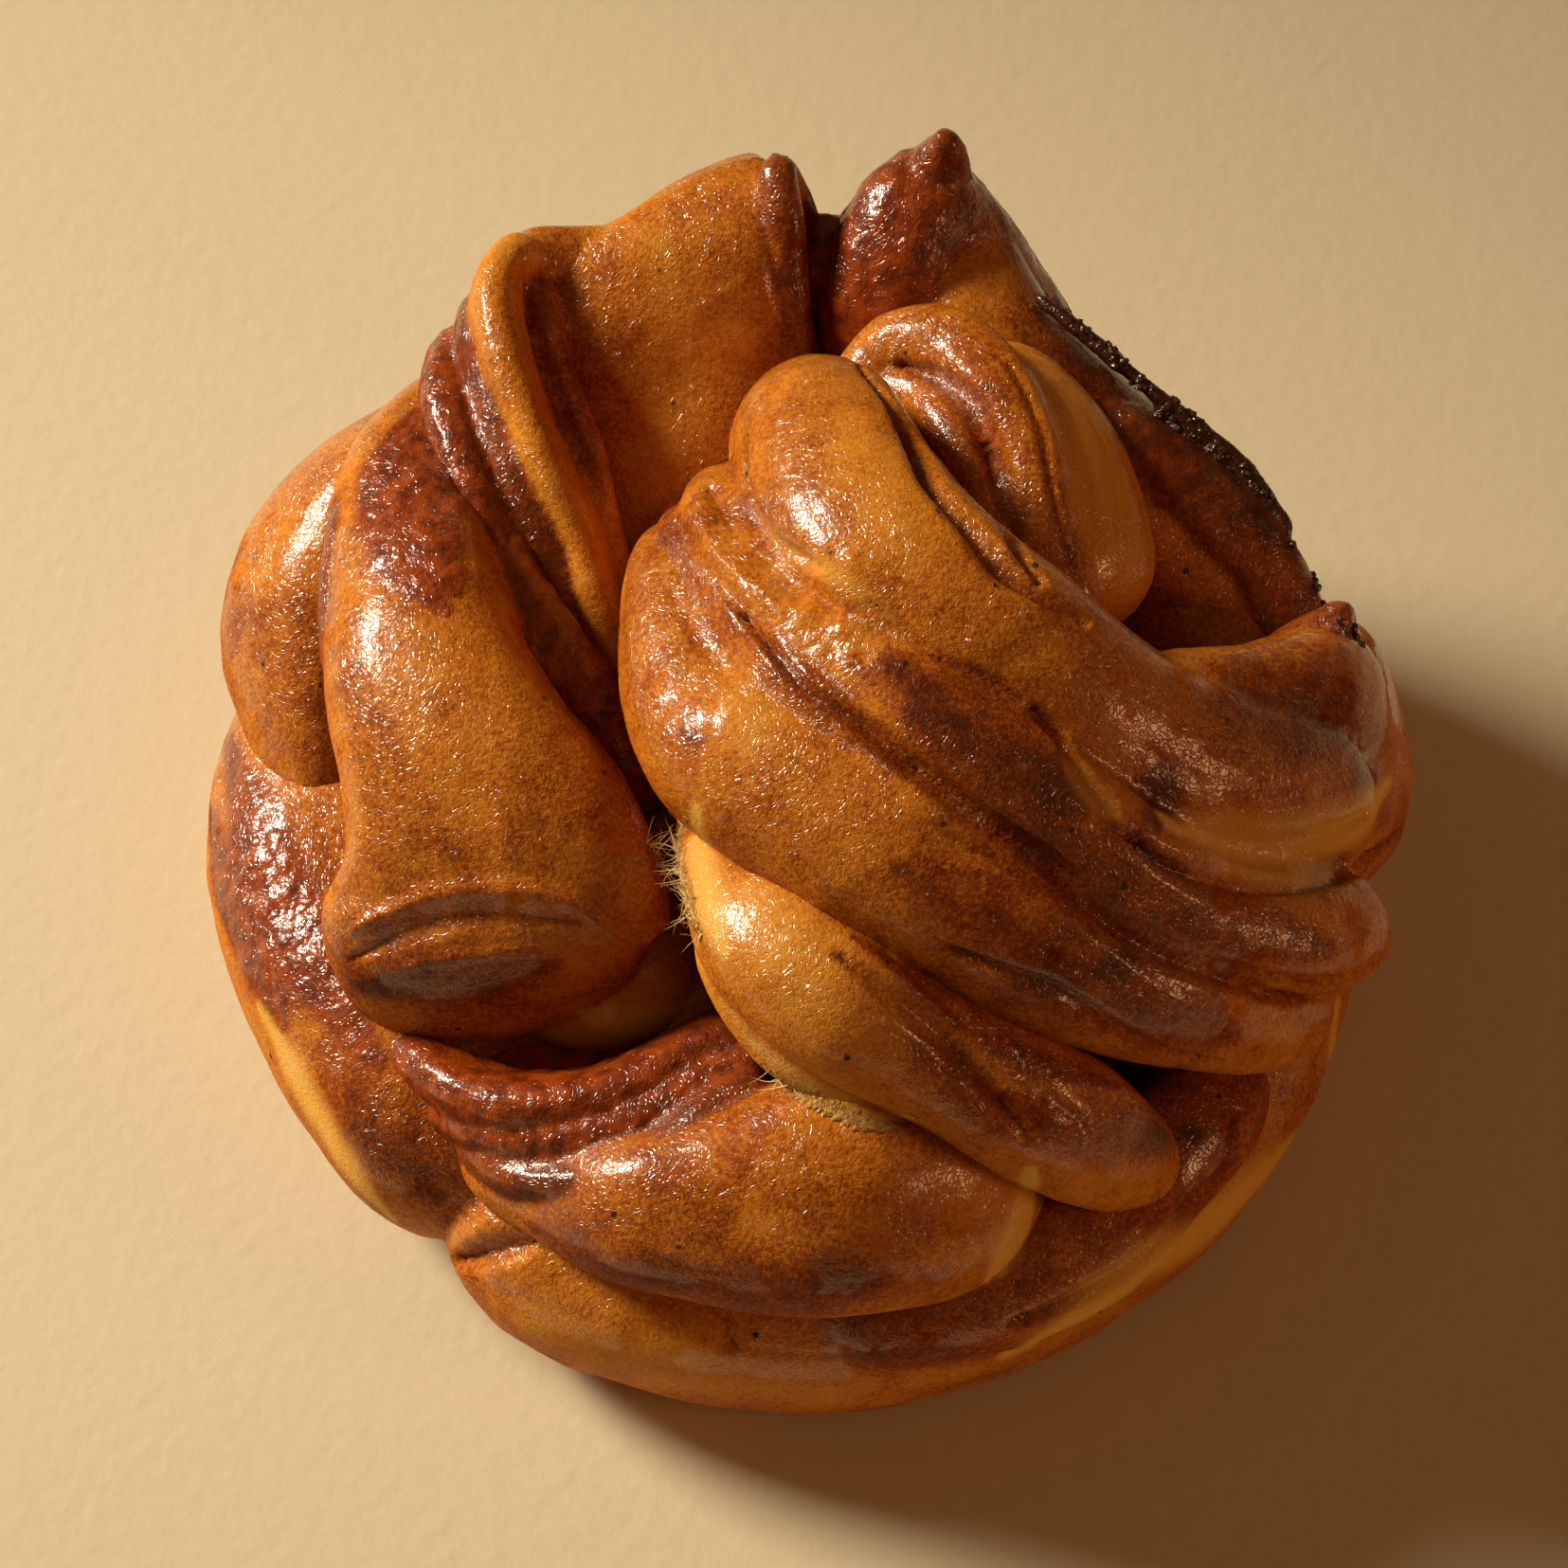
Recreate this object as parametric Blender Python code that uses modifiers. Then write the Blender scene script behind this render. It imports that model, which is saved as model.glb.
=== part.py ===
"""A braided cinnamon roll: strands of layered yeast dough plaited into a round knot.

A thick strand coils round the foot, and straps and rolls of the same dough cross over it. A strap
is flat, a roll is nearly round. Each is lofted along a short row of stations, in millimetres: where
its middle runs, how wide and thick it is there, and which way its broad face looks. All of them are
joined into one solid with a flat foot, as the dough bakes together.
"""

import math

import bmesh
import bpy
from mathutils import Vector

MM = 0.001
NODE = "braided_roll"

# Driving sizes, in millimetres.
FOOT_RADIUS = 36
FOOT_HEIGHT = 12
COIL_LEAN = 12
EDGE_LAYERS = 3
SECTION_POINTS = 20
SECTION_POWER = 0.8
STATION_GAP = 2.5
END_ROUNDING = 0.5
VOXEL = 0.9
SOFTENING = 3
FLAT_WITHIN = 0.2
TRIANGLES = 10400
SHIFT = Vector((-1.9, -1.8, 0))

UP = (0, -0.4, 0.9)

# The coil round the foot: angle in degrees, radius of its middle, height, width, thickness.
COIL = (
    (226, 36.5, 11, 22, 18),
    (245, 37, 11, 24, 21),
    (280, 37.5, 11, 25, 22),
    (360, 38.5, 11, 25, 22),
    (450, 40.5, 12, 25, 24),
    (500, 39, 12, 25, 24),
    (537, 38.5, 13, 25, 25),
    (562, 36, 13, 25, 25),
    (580, 35.5, 13, 25, 23),
    (592, 34.5, 14, 21, 19),
    (602, 32.5, 17, 16, 13),
)

# The turn above it, under the crossing straps: first and last angle, radius, height, width,
# thickness, lean, and how far the middle of the turn swells out and up.
UPPER_COIL = (-40, 190, 36, 22, 15, 20, 27, 2.5, 3)

# Straps: x, y, z, width, thickness and the way the broad face looks.
STRAPS = {
    "left_lobe": (
        (-37, -2, 15, 12, 12, (-0.6, 0.2, 0.7)),
        (-39, 3, 20, 15, 13, (-0.7, 0.1, 0.6)),
        (-42, 10, 25, 18, 14, (-0.7, 0.2, 0.6)),
        (-42, 19, 28, 19, 14, (-0.6, 0.3, 0.7)),
        (-38, 25, 30, 19, 14, (-0.5, 0.5, 0.7)),
        (-30, 31, 31, 18, 14, (-0.2, 0.8, 0.5)),
        (-19, 39, 29, 18, 14, (0, 0.9, 0.4)),
    ),
    "left_strap": (
        (-34, 17, 37, 8, 8, (-0.3, -0.2, 0.9)),
        (-32, 10, 40, 13, 13, (-0.3, -0.2, 0.9)),
        (-31, 4, 40.5, 16, 15, (-0.3, -0.2, 0.9)),
        (-28, -3, 39.5, 19, 15, (-0.1, -0.3, 0.9)),
        (-25, -9, 37.5, 24, 14, (0, -0.4, 0.9)),
        (-24, -14, 34.5, 30, 13, (0, -0.6, 0.7)),
        (-22, -16, 29, 34, 12, (0.1, -1, 0.2)),
        (-20, -16, 22, 35, 12, (0.1, -1, -0.3)),
    ),
    "left_strap_scoop": (
        (-29, 34, 35, 7, 9, (0.1, -0.2, 0.9)),
        (-31, 27, 37, 10, 10, (0.2, -0.3, 0.9)),
        (-32, 19, 38, 11, 11, (0.2, -0.3, 0.9)),
        (-31, 13, 36, 12, 12, (0.2, -0.3, 0.9)),
        (-25, 7, 33, 11, 11, (0.4, -0.3, 0.9)),
        (-18, 1, 29, 10, 10, (0.4, -0.3, 0.9)),
        (-13, -4, 25, 8, 8, (0.4, -0.3, 0.9)),
    ),
    "back_strap": (
        (-2, 38, 11, 27, 14, (-0.1, 1, -0.1)),
        (-6, 43, 21, 28, 13, (-0.2, 1, 0.1)),
        (-10, 46.5, 33, 27, 10, (-0.3, 0.9, 0.3)),
        (-12, 45, 42.5, 25, 7.5, (-0.1, 0.2, 1)),
        (-11, 40.5, 40, 24, 8, (0.1, -0.7, 0.8)),
        (-10, 35, 35, 24, 10, (0.1, -0.7, 0.7)),
        (-8, 29, 29, 22, 12, (0, -0.6, 0.8)),
        (-5, 22, 24, 20, 12, (0, -0.4, 0.9)),
    ),
    "back_fold": (
        (10, 39, 26, 12, 12, (-0.3, -0.6, 0.7)),
        (9, 41, 37, 12, 12, (-0.4, -0.5, 0.8)),
        (10, 44, 43, 12, 12, (-0.3, -0.3, 0.9)),
        (12, 48, 46, 10, 10, (0, 0, 1)),
        (15, 47, 40, 13, 11, (0.3, 0.8, 0.4)),
        (19, 43.5, 30, 18, 12, (0.4, 0.9, 0.2)),
        (22, 38, 20, 22, 14, (0.5, 0.9, 0.1)),
        (24, 32, 11, 22, 14, (0.6, 0.8, 0)),
    ),
    "right_back_strap": (
        (13, 49, 43, 10, 9, (0.2, 0.2, 0.9)),
        (16, 42, 41, 13, 10, (0.3, -0.1, 0.9)),
        (19, 35, 39, 16, 11, (0.4, -0.1, 0.9)),
        (26, 29, 36, 17, 12, (0.5, 0, 0.8)),
        (34, 24, 31, 18, 13, (0.7, 0, 0.7)),
        (40, 18, 26, 18, 13, (0.9, 0, 0.5)),
        (44, 11, 21, 16, 12, (1, 0.1, 0.3)),
    ),
    "right_strap": (
        (23, -4, 48, 12, 10, (0.1, -0.4, 0.9)),
        (30, -6, 45, 16, 11, (0.2, -0.5, 0.8)),
        (37, -4, 40, 18, 12, (0.3, -0.6, 0.8)),
        (44, -1, 35, 21, 12, (0.6, -0.5, 0.6)),
        (47, 1, 30, 22, 11, (0.9, -0.2, 0.4)),
        (48.5, 6, 26, 22, 11, (1, 0.1, 0.2)),
        (47, 12, 21, 20, 12, (0.9, 0.4, 0.1)),
    ),
    "curl_outside": (
        (14, 34, 40, 12, 12, (0.2, 0, 1)),
        (18, 30, 41, 14, 14, (0.5, -0.1, 0.9)),
        (22, 23, 41, 15, 15, (0.6, -0.2, 0.8)),
        (24, 16, 39, 15, 15, (0.6, -0.3, 0.7)),
        (25, 10, 35, 14, 14, (0.5, -0.4, 0.7)),
    ),
    "front_roll_lip": (
        (-5, -14, 37, 5, 5, (-0.2, -0.7, 0.7)),
        (-3, -23, 39, 8, 6, (-0.2, -0.7, 0.7)),
        (2, -28, 38, 11, 7, (-0.1, -0.8, 0.6)),
        (9, -31, 35, 12, 7, (0, -0.8, 0.6)),
        (16, -33, 31, 11, 7, (0, -0.8, 0.6)),
        (22, -33, 27, 9, 6, (0, -0.8, 0.6)),
    ),
    "front_strap": (
        (-23, -30, 20, 7, 8, (-0.2, -0.5, 0.8)),
        (-19, -35, 23, 10, 11, (-0.1, -0.5, 0.8)),
        (-11, -38, 26, 15, 13, (0, -0.6, 0.8)),
        (-4, -38, 28, 19, 14, (0, -0.6, 0.8)),
        (4, -39, 28, 20, 14, (0.1, -0.6, 0.8)),
        (12, -38, 26, 17, 13, (0.1, -0.6, 0.8)),
        (17, -36, 23, 14, 11, (0.2, -0.6, 0.8)),
        (20, -32, 20, 10, 9, (0.3, -0.5, 0.8)),
    ),
}

# Rolls: x, y, z and diameter.
ROLLS = {
    "coil_inner_roll": (
        (2, -43, 16, 10),
        (10, -43, 17, 12),
        (18, -41, 18, 13),
        (25, -38, 19, 13),
        (30, -33, 20, 12),
        (35, -27, 20, 11),
        (37, -20, 20, 9),
    ),
    "left_strap_rim": (
        (-30, 33, 37, 4),
        (-33, 28, 39, 5),
        (-36, 23, 40, 5.5),
        (-37, 18, 40.5, 6),
        (-37, 12, 40, 7),
        (-36, 6, 38, 8),
    ),
    "back_strap_crease": (
        (-20, 41, 45, 4),
        (-19, 34, 45, 4),
        (-18, 27, 44, 4.5),
        (-15, 21, 41.5, 5),
        (-13, 16, 38, 5),
        (-11, 10, 33, 5),
    ),
    "back_strap_rim": (
        (3, 42, 22, 8),
        (2, 47, 35, 7),
        (-1, 49, 46, 5),
        (0, 45, 46.5, 6),
        (1, 40, 42, 6.5),
        (2, 35, 35, 7),
    ),
    "back_gap_roll": (
        (5, 43, 24, 11),
        (5, 44, 33, 10),
        (4, 46, 41, 8),
        (5, 47, 34, 10),
        (6, 43, 22, 12),
    ),
    "back_tip": (
        (12, 48, 44, 8),
        (13, 49, 49, 6),
        (14, 49, 52, 3.5),
        (14, 49, 54, 2.2),
    ),
    "right_rim_upper": (
        (25, 32, 39, 5),
        (30, 27, 38, 8),
        (36, 23, 36, 8),
        (41, 19, 33, 8),
        (44, 13, 29, 8),
        (46, 8, 25, 8),
    ),
    "right_rim_lower": (
        (27, 23, 26, 10),
        (34, 23, 27, 10),
        (39, 20, 27, 9),
        (44, 15, 25, 9),
        (47, 10, 22, 8),
    ),
    "knot_front_roll": (
        (-5, 14, 32, 10),
        (-8, 13, 41, 10),
        (-7, 4, 46, 13.5),
        (-4, -7, 48, 16),
        (4, -14, 49, 17),
        (13, -19, 47, 17),
        (22, -23, 43, 16),
        (32, -24, 37, 14),
        (39, -23, 31, 11),
        (44, -19, 27, 9),
    ),
    "knot_front_ridge": (
        (-6, 16, 38, 6),
        (-8, 14, 46, 5.5),
        (-6, 8, 50, 6),
        (-3, 0, 53, 7),
        (2, -7, 55, 7.5),
        (8, -12, 55, 7.5),
        (14, -16, 53, 7.5),
        (21, -21, 49, 7),
        (28, -23, 43, 6.5),
        (35, -23, 37, 6),
    ),
    "knot_middle_roll": (
        (-2, 19, 33, 9),
        (-4, 18, 42, 8),
        (-5, 15, 48, 7.5),
        (-3, 7, 52, 9),
        (2, -1, 54, 10),
        (9, -8, 55, 11),
        (17, -14, 53, 11.5),
        (25, -18, 48, 11.5),
        (33, -20, 42, 11),
        (42, -19, 36, 11),
        (48, -14, 30, 10),
    ),
    "knot_top_roll": (
        (4, 22, 30, 13),
        (2, 24, 40, 13),
        (3, 21, 49, 14.5),
        (5, 12, 53, 17),
        (9, 4, 55, 17.5),
        (15, -1, 54, 17),
        (21, -5, 51, 17),
        (27, -7, 46.5, 17),
        (34, -8, 41.5, 17),
        (41, -6, 36, 16),
        (46, -2, 30, 14),
    ),
    "right_strap_tip": (
        (40, 3, 38, 7),
        (44, 7, 37, 6),
        (47, 9, 37, 4.5),
        (48, 11, 37, 3),
    ),
    "curl_ridge": (
        (8, 32, 40, 8),
        (10, 32, 45, 8),
        (13, 31, 48, 8),
        (17, 26, 49, 8),
        (20, 20, 48, 8),
        (22, 14, 46, 8),
        (24, 9, 43, 7),
    ),
    "curl_inside": (
        (9, 29, 43, 6),
        (12, 25, 46, 6),
        (15, 19, 47, 6),
        (18, 14, 46, 6),
        (21, 9, 43, 6),
    ),
    "front_roll": (
        (-6, -7, 34, 6),
        (-4, -16, 40, 9),
        (-1, -23, 43, 11.5),
        (4, -28, 43, 12.5),
        (10, -30, 40, 12),
        (18, -32, 36, 12),
        (25, -32, 31, 11),
        (32, -31, 26, 10),
        (37, -26, 22, 9),
    ),
    "left_filler": (
        (-32, -20, 18, 14),
        (-34, -8, 21, 16),
        (-34, 8, 23, 17),
        (-30, 24, 24, 16),
    ),
}

# A cut edge shows the strap's layers as ridges, between its first ridge and its last one.
EDGES = {
    "back_strap_layer": (
        (
            (-27, 39, 41, 6),
            (-28, 33, 41, 6),
            (-28, 27, 41, 6.5),
            (-26, 21, 40, 7),
            (-25, 15, 38.5, 8),
            (-22, 9, 37, 8),
            (-18, 4, 35, 7.5),
            (-14, -1, 31, 7),
            (-11, -4, 26, 6),
        ),
        (
            (-23, 42, 46.5, 5),
            (-24, 37, 47, 6),
            (-22, 30, 46.5, 6.5),
            (-20, 23, 45.5, 6.5),
            (-17, 16, 43.5, 6.5),
            (-15, 10, 40, 6.5),
            (-12, 5, 35, 6),
            (-9, 2, 29, 6),
        ),
    ),
    "front_strap_layer": (
        (
            (-30, -21, 21, 6.5),
            (-27, -25, 24, 8),
            (-22, -27, 26, 8.5),
            (-16, -27, 28, 8.5),
            (-11, -26, 29, 8),
            (-5, -24, 30, 7.5),
            (-1, -22, 30, 7),
        ),
        (
            (-25, -29, 21, 5),
            (-22, -33, 23.5, 6),
            (-17, -35, 26, 6.5),
            (-13, -34, 28, 6.5),
            (-8, -32, 29.5, 6),
            (-4, -30, 31, 6),
            (0, -27, 31.5, 6),
        ),
    ),
}

# The heart of the knot, hidden by the strands: middle and half sizes.
HEART = (
    ((0, 4, 14), (40, 42, 15)),
    ((10, -4, 30), (26, 20, 17)),
    ((6, 14, 24), (26, 18, 14)),
    ((19, 5, 34), (17, 13, 9)),
)


def remove_all():
    for thing in list(bpy.data.objects):
        bpy.data.objects.remove(thing, do_unlink=True)
    for group in list(bpy.data.collections):
        bpy.data.collections.remove(group)


def smooth_rows(rows, gap):
    """Rows of numbers evenly along a smooth curve through the given rows, about gap mm apart."""
    places = [Vector(row[:3]) for row in rows]
    knots = [0.0]
    for before, after in zip(places, places[1:]):
        knots.append(knots[-1] + (after - before).length)
    slopes = []
    for i in range(len(rows)):
        low, high = max(i - 1, 0), min(i + 1, len(rows) - 1)
        span = knots[high] - knots[low]
        slopes.append([(b - a) / span for a, b in zip(rows[low], rows[high])])
    count = max(6, round(knots[-1] / gap))
    found = []
    segment = 0
    for step in range(count + 1):
        along = knots[-1] * step / count
        while segment < len(rows) - 2 and along > knots[segment + 1]:
            segment += 1
        length = knots[segment + 1] - knots[segment]
        t = (along - knots[segment]) / length
        pull = (2 * t**3 - 3 * t**2 + 1, (t**3 - 2 * t**2 + t) * length)
        push = (3 * t**2 - 2 * t**3, (t**3 - t**2) * length)
        found.append(
            [
                pull[0] * a + pull[1] * sa + push[0] * b + push[1] * sb
                for a, sa, b, sb in zip(
                    rows[segment], slopes[segment], rows[segment + 1], slopes[segment + 1]
                )
            ]
        )
    return found, knots[-1]


def rounded(part):
    """A point of the unit section, between a circle and a box with round corners."""
    angle = 2 * math.pi * part
    across = math.cos(angle)
    through = math.sin(angle)
    return (
        math.copysign(abs(across) ** SECTION_POWER, across),
        math.copysign(abs(through) ** SECTION_POWER, through),
    )


def loft(name, rows, group):
    """A closed strand through rows of x, y, z, width, thickness and face direction."""
    stations, length = smooth_rows(rows, STATION_GAP)
    middles = [Vector(row[:3]) for row in stations]
    last = len(stations) - 1
    mesh = bmesh.new()
    rings = []
    for i, row in enumerate(stations):
        tangent = (middles[min(i + 1, last)] - middles[max(i - 1, 0)]).normalized()
        face = Vector(row[5:8])
        face = (face - tangent * face.dot(tangent)).normalized()
        side = tangent.cross(face)
        end = length * min(i, last - i) / last
        near = min(1.0, end / (END_ROUNDING * row[4]))
        shrink = max(0.2, math.sqrt(1 - (1 - near) ** 2))
        ring = []
        for k in range(SECTION_POINTS):
            across, through = rounded(k / SECTION_POINTS)
            reach = side * (across * row[3] / 2 * shrink) + face * (through * row[4] / 2 * shrink)
            ring.append(mesh.verts.new((middles[i] + reach + SHIFT) * MM))
        rings.append(ring)
    for before, after in zip(rings, rings[1:]):
        for k in range(SECTION_POINTS):
            beyond = (k + 1) % SECTION_POINTS
            mesh.faces.new((before[k], before[beyond], after[beyond], after[k]))
    mesh.faces.new(rings[0][::-1])
    mesh.faces.new(rings[-1])
    bmesh.ops.recalc_face_normals(mesh, faces=mesh.faces)
    return placed(name, mesh, group)


def placed(name, mesh, group):
    data = bpy.data.meshes.new(name)
    mesh.to_mesh(data)
    mesh.free()
    thing = bpy.data.objects.new(name, data)
    group.objects.link(thing)
    return thing


def strap(name, stations, group):
    return loft(name, [(*row[:5], *row[5]) for row in stations], group)


def roll(name, stations, group):
    return loft(name, [(*row, row[3], *UP) for row in stations], group)


def coil(group):
    """The strand round the foot, its face leaning outwards."""
    lean = math.radians(COIL_LEAN)
    rows = []
    for degrees, radius, height, width, thickness in COIL:
        rows.append((math.radians(degrees), radius, height, width, thickness))
    stations = []
    steps = 36
    for step in range(steps + 1):
        turn = rows[0][0] + (rows[-1][0] - rows[0][0]) * step / steps
        after = next(i for i in range(1, len(rows)) if turn <= rows[i][0] + 1e-9)
        before = after - 1
        t = (turn - rows[before][0]) / (rows[after][0] - rows[before][0])
        ease = t * t * (3 - 2 * t)
        _, radius, height, width, thickness = (
            a + (b - a) * ease for a, b in zip(rows[before], rows[after])
        )
        outward = Vector((math.cos(turn), math.sin(turn), 0))
        face = outward * math.sin(lean) + Vector((0, 0, math.cos(lean)))
        stations.append((*(outward * radius + Vector((0, 0, height))), width, thickness, *face))
    return loft("foot_coil", stations, group)


def upper_coil(group):
    """A second turn round the back, under the crossing straps."""
    first, last, radius, height, width, thickness, lean, swell_out, swell_up = UPPER_COIL
    side = math.sin(math.radians(lean))
    rise = math.cos(math.radians(lean))
    stations = []
    for degrees in range(first, last + 1, 10):
        swell = math.sin(math.pi * (degrees - first) / (last - first))
        turn = math.radians(degrees)
        outward = Vector((math.cos(turn), math.sin(turn), 0))
        middle = outward * (radius + swell_out * swell)
        face = outward * side + Vector((0, 0, rise))
        stations.append((middle.x, middle.y, height + swell_up * swell, width, thickness, *face))
    return loft("upper_coil", stations, group)


def fan(name, first, last, group):
    """Ridges side by side from the first to the last, each as long as the two it lies between."""
    count = EDGE_LAYERS
    start, _ = smooth_rows(first, STATION_GAP)
    stop, _ = smooth_rows(last, STATION_GAP)
    for layer in range(count):
        share = layer / (count - 1)
        rows = []
        for step in range(9):
            a = start[round(step / 8 * (len(start) - 1))]
            b = stop[round(step / 8 * (len(stop) - 1))]
            rows.append([p + (q - p) * share for p, q in zip(a, b)])
        roll(f"{name}_{layer + 1}", rows, group)


def heart(group):
    made = []
    for i, (middle, half) in enumerate(HEART):
        mesh = bmesh.new()
        bmesh.ops.create_uvsphere(mesh, u_segments=32, v_segments=16, radius=1)
        for point in mesh.verts:
            x, y, z = point.co
            point.co = (Vector((x * half[0], y * half[1], z * half[2])) + Vector(middle) + SHIFT) * MM
        made.append(placed(f"heart_{i + 1}", mesh, group))
    return made


def foot():
    """A flat disc that closes the coil's middle, so the roll stands on a whole foot."""
    mesh = bmesh.new()
    bmesh.ops.create_cone(
        mesh,
        cap_ends=True,
        segments=48,
        radius1=FOOT_RADIUS,
        radius2=FOOT_RADIUS,
        depth=FOOT_HEIGHT,
    )
    for point in mesh.verts:
        point.co = (point.co + Vector((0, 0, FOOT_HEIGHT / 2)) + SHIFT) * MM
    return placed(NODE, mesh, bpy.context.scene.collection)


def apply(thing):
    """The object with its modifiers made real."""
    graph = bpy.context.evaluated_depsgraph_get()
    data = bpy.data.meshes.new_from_object(thing.evaluated_get(graph))
    thing.modifiers.clear()
    thing.data = data


def outer_shell(thing):
    """Keeps the largest closed shell: this drops scrap, and fills hollows that the strands sealed."""
    mesh = bmesh.new()
    mesh.from_mesh(thing.data)
    left = set(mesh.verts)
    shells = []
    while left:
        shell = [left.pop()]
        for vert in shell:
            for edge in vert.link_edges:
                other = edge.other_vert(vert)
                if other in left:
                    left.remove(other)
                    shell.append(other)
        shells.append(shell)
    shells.sort(key=len)
    for shell in shells[:-1]:
        bmesh.ops.delete(mesh, geom=shell, context="VERTS")
    mesh.to_mesh(thing.data)
    mesh.free()


def cut_flat(thing):
    """Takes off all that is below the table."""
    mesh = bmesh.new()
    bmesh.ops.create_cube(mesh, size=1)
    for point in mesh.verts:
        x, y, z = point.co
        point.co = (Vector((x * 200, y * 200, z * 20 - 10)) + SHIFT) * MM
    cutter = placed("table_cutter", mesh, bpy.context.scene.collection)
    cutter.hide_render = True
    cut = thing.modifiers.new("flat_foot", "BOOLEAN")
    cut.operation = "DIFFERENCE"
    cut.object = cutter
    apply(thing)
    bpy.data.objects.remove(cutter, do_unlink=True)


def crust():
    """Baked, egg-washed dough: golden brown, half glossy."""
    material = bpy.data.materials.new("baked_crust")
    material.use_nodes = True
    shader = material.node_tree.nodes["Principled BSDF"]
    shader.inputs["Base Color"].default_value = (0.38, 0.15, 0.035, 1)
    shader.inputs["Roughness"].default_value = 0.38
    shader.inputs["Metallic"].default_value = 0
    return material


def main():
    remove_all()
    group = bpy.data.collections.new("strands")
    bpy.context.scene.collection.children.link(group)
    coil(group)
    upper_coil(group)
    for name, stations in STRAPS.items():
        strap(name, stations, group)
    for name, stations in ROLLS.items():
        roll(name, stations, group)
    for name, (first, last) in EDGES.items():
        fan(name, first, last, group)
    heart(group)

    roll_body = foot()
    join = roll_body.modifiers.new("join_strands", "BOOLEAN")
    join.operation = "UNION"
    join.operand_type = "COLLECTION"
    join.collection = group
    join.solver = "MANIFOLD"
    apply(roll_body)
    for thing in list(group.objects):
        bpy.data.objects.remove(thing, do_unlink=True)
    bpy.data.collections.remove(group)

    melt = roll_body.modifiers.new("melt_seams", "REMESH")
    melt.mode = "VOXEL"
    melt.voxel_size = VOXEL * MM
    apply(roll_body)
    outer_shell(roll_body)
    soften = roll_body.modifiers.new("soften_creases", "SMOOTH")
    soften.factor = 0.5
    soften.iterations = SOFTENING
    apply(roll_body)
    cut_flat(roll_body)
    outer_shell(roll_body)

    faces = sum(len(face.vertices) - 2 for face in roll_body.data.polygons)
    thin = roll_body.modifiers.new("coarsen", "DECIMATE")
    thin.ratio = min(1.0, TRIANGLES / faces)
    thin.use_collapse_triangulate = True
    apply(roll_body)
    outer_shell(roll_body)
    for vert in roll_body.data.vertices:
        if vert.co.z < FLAT_WITHIN * MM:
            vert.co.z = 0
    roll_body.data.materials.clear()
    roll_body.data.materials.append(crust())
    roll_body.data.shade_smooth()
    places = [vert.co / MM for vert in roll_body.data.vertices]
    for axis, letter in enumerate("xyz"):
        values = [place[axis] for place in places]
        print(letter, round(min(values), 2), round(max(values), 2))
    print("triangles", len(roll_body.data.polygons))


main()
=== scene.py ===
# %% [markdown]
# # A braided cinnamon roll
#
# This lesson dresses a plain solid as a baked bun. The bun is a knot of yeast dough: a thick strand
# coils round the foot, and straps and rolls of the same dough cross over it. The dough was spread
# with cinnamon filling and folded before it was cut, so the cut edges show dark, syrupy layers.
# Every strand is built again here at a finer grain, then given its crust by one node tree.

import math

import bmesh
import bpy
import numpy as np
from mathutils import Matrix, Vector


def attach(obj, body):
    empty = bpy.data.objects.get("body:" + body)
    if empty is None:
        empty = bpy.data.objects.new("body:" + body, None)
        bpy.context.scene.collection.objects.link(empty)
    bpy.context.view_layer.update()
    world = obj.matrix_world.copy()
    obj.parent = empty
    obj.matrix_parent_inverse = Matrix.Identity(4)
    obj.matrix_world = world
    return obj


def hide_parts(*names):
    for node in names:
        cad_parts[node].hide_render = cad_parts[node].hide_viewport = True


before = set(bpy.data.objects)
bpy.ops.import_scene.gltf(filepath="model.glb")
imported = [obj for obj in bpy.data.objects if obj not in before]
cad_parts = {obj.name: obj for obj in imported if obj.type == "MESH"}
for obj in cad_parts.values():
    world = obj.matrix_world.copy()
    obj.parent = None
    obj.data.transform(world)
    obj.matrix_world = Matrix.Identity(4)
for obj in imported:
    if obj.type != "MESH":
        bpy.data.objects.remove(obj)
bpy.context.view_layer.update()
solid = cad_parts["braided_roll"]

# %% [markdown]
# The strands are written in millimetres, because that is how a baker would measure them. The solid
# was moved so that its box is centred on the origin, and the same shift is used here.

# %% Sizes that the whole lesson shares
MM = 0.001
PER_MM = 1000.0
SHIFT = np.array((-1.9, -1.8, 0.0))


def linked(name, data):
    thing = bpy.data.objects.new(name, data)
    bpy.context.scene.collection.objects.link(thing)
    return thing


# %% [markdown]
# The camera looks down at 60 degrees from 40 cm, with a long lens, as for a close picture of food
# on a table. The lens is worked out from the picture's width in pixels.

# %% Camera
PICTURE_PIXELS = 1655
FOCAL_PIXELS = 4920
SENSOR_WIDTH = 36
CAMERA_DISTANCE = 0.400
CAMERA_ELEVATION = math.radians(60)
LOOK_AT = Vector((SHIFT[0], SHIFT[1], 28)) * MM

camera_data = bpy.data.cameras.new("camera")
camera_data.sensor_width = SENSOR_WIDTH
camera_data.lens = SENSOR_WIDTH * FOCAL_PIXELS / PICTURE_PIXELS
camera_data.clip_start = 0.01
camera = linked("camera", camera_data)
towards_camera = Vector((0, -math.cos(CAMERA_ELEVATION), math.sin(CAMERA_ELEVATION)))
camera.location = LOOK_AT + towards_camera * CAMERA_DISTANCE
camera.rotation_euler = (math.pi / 2 - CAMERA_ELEVATION, 0, 0)
bpy.context.scene.camera = camera
print("Lens:", round(camera_data.lens, 1), "mm")

# %% [markdown]
# Where a strand is cut open the filling shows, and where it is whole there is skin. Each strand
# is given one finish here: how much filling shows, how much torn crumb, and how brown it is
# against the rest. The finishes go into the mesh as attributes, so one material can read them.

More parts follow.
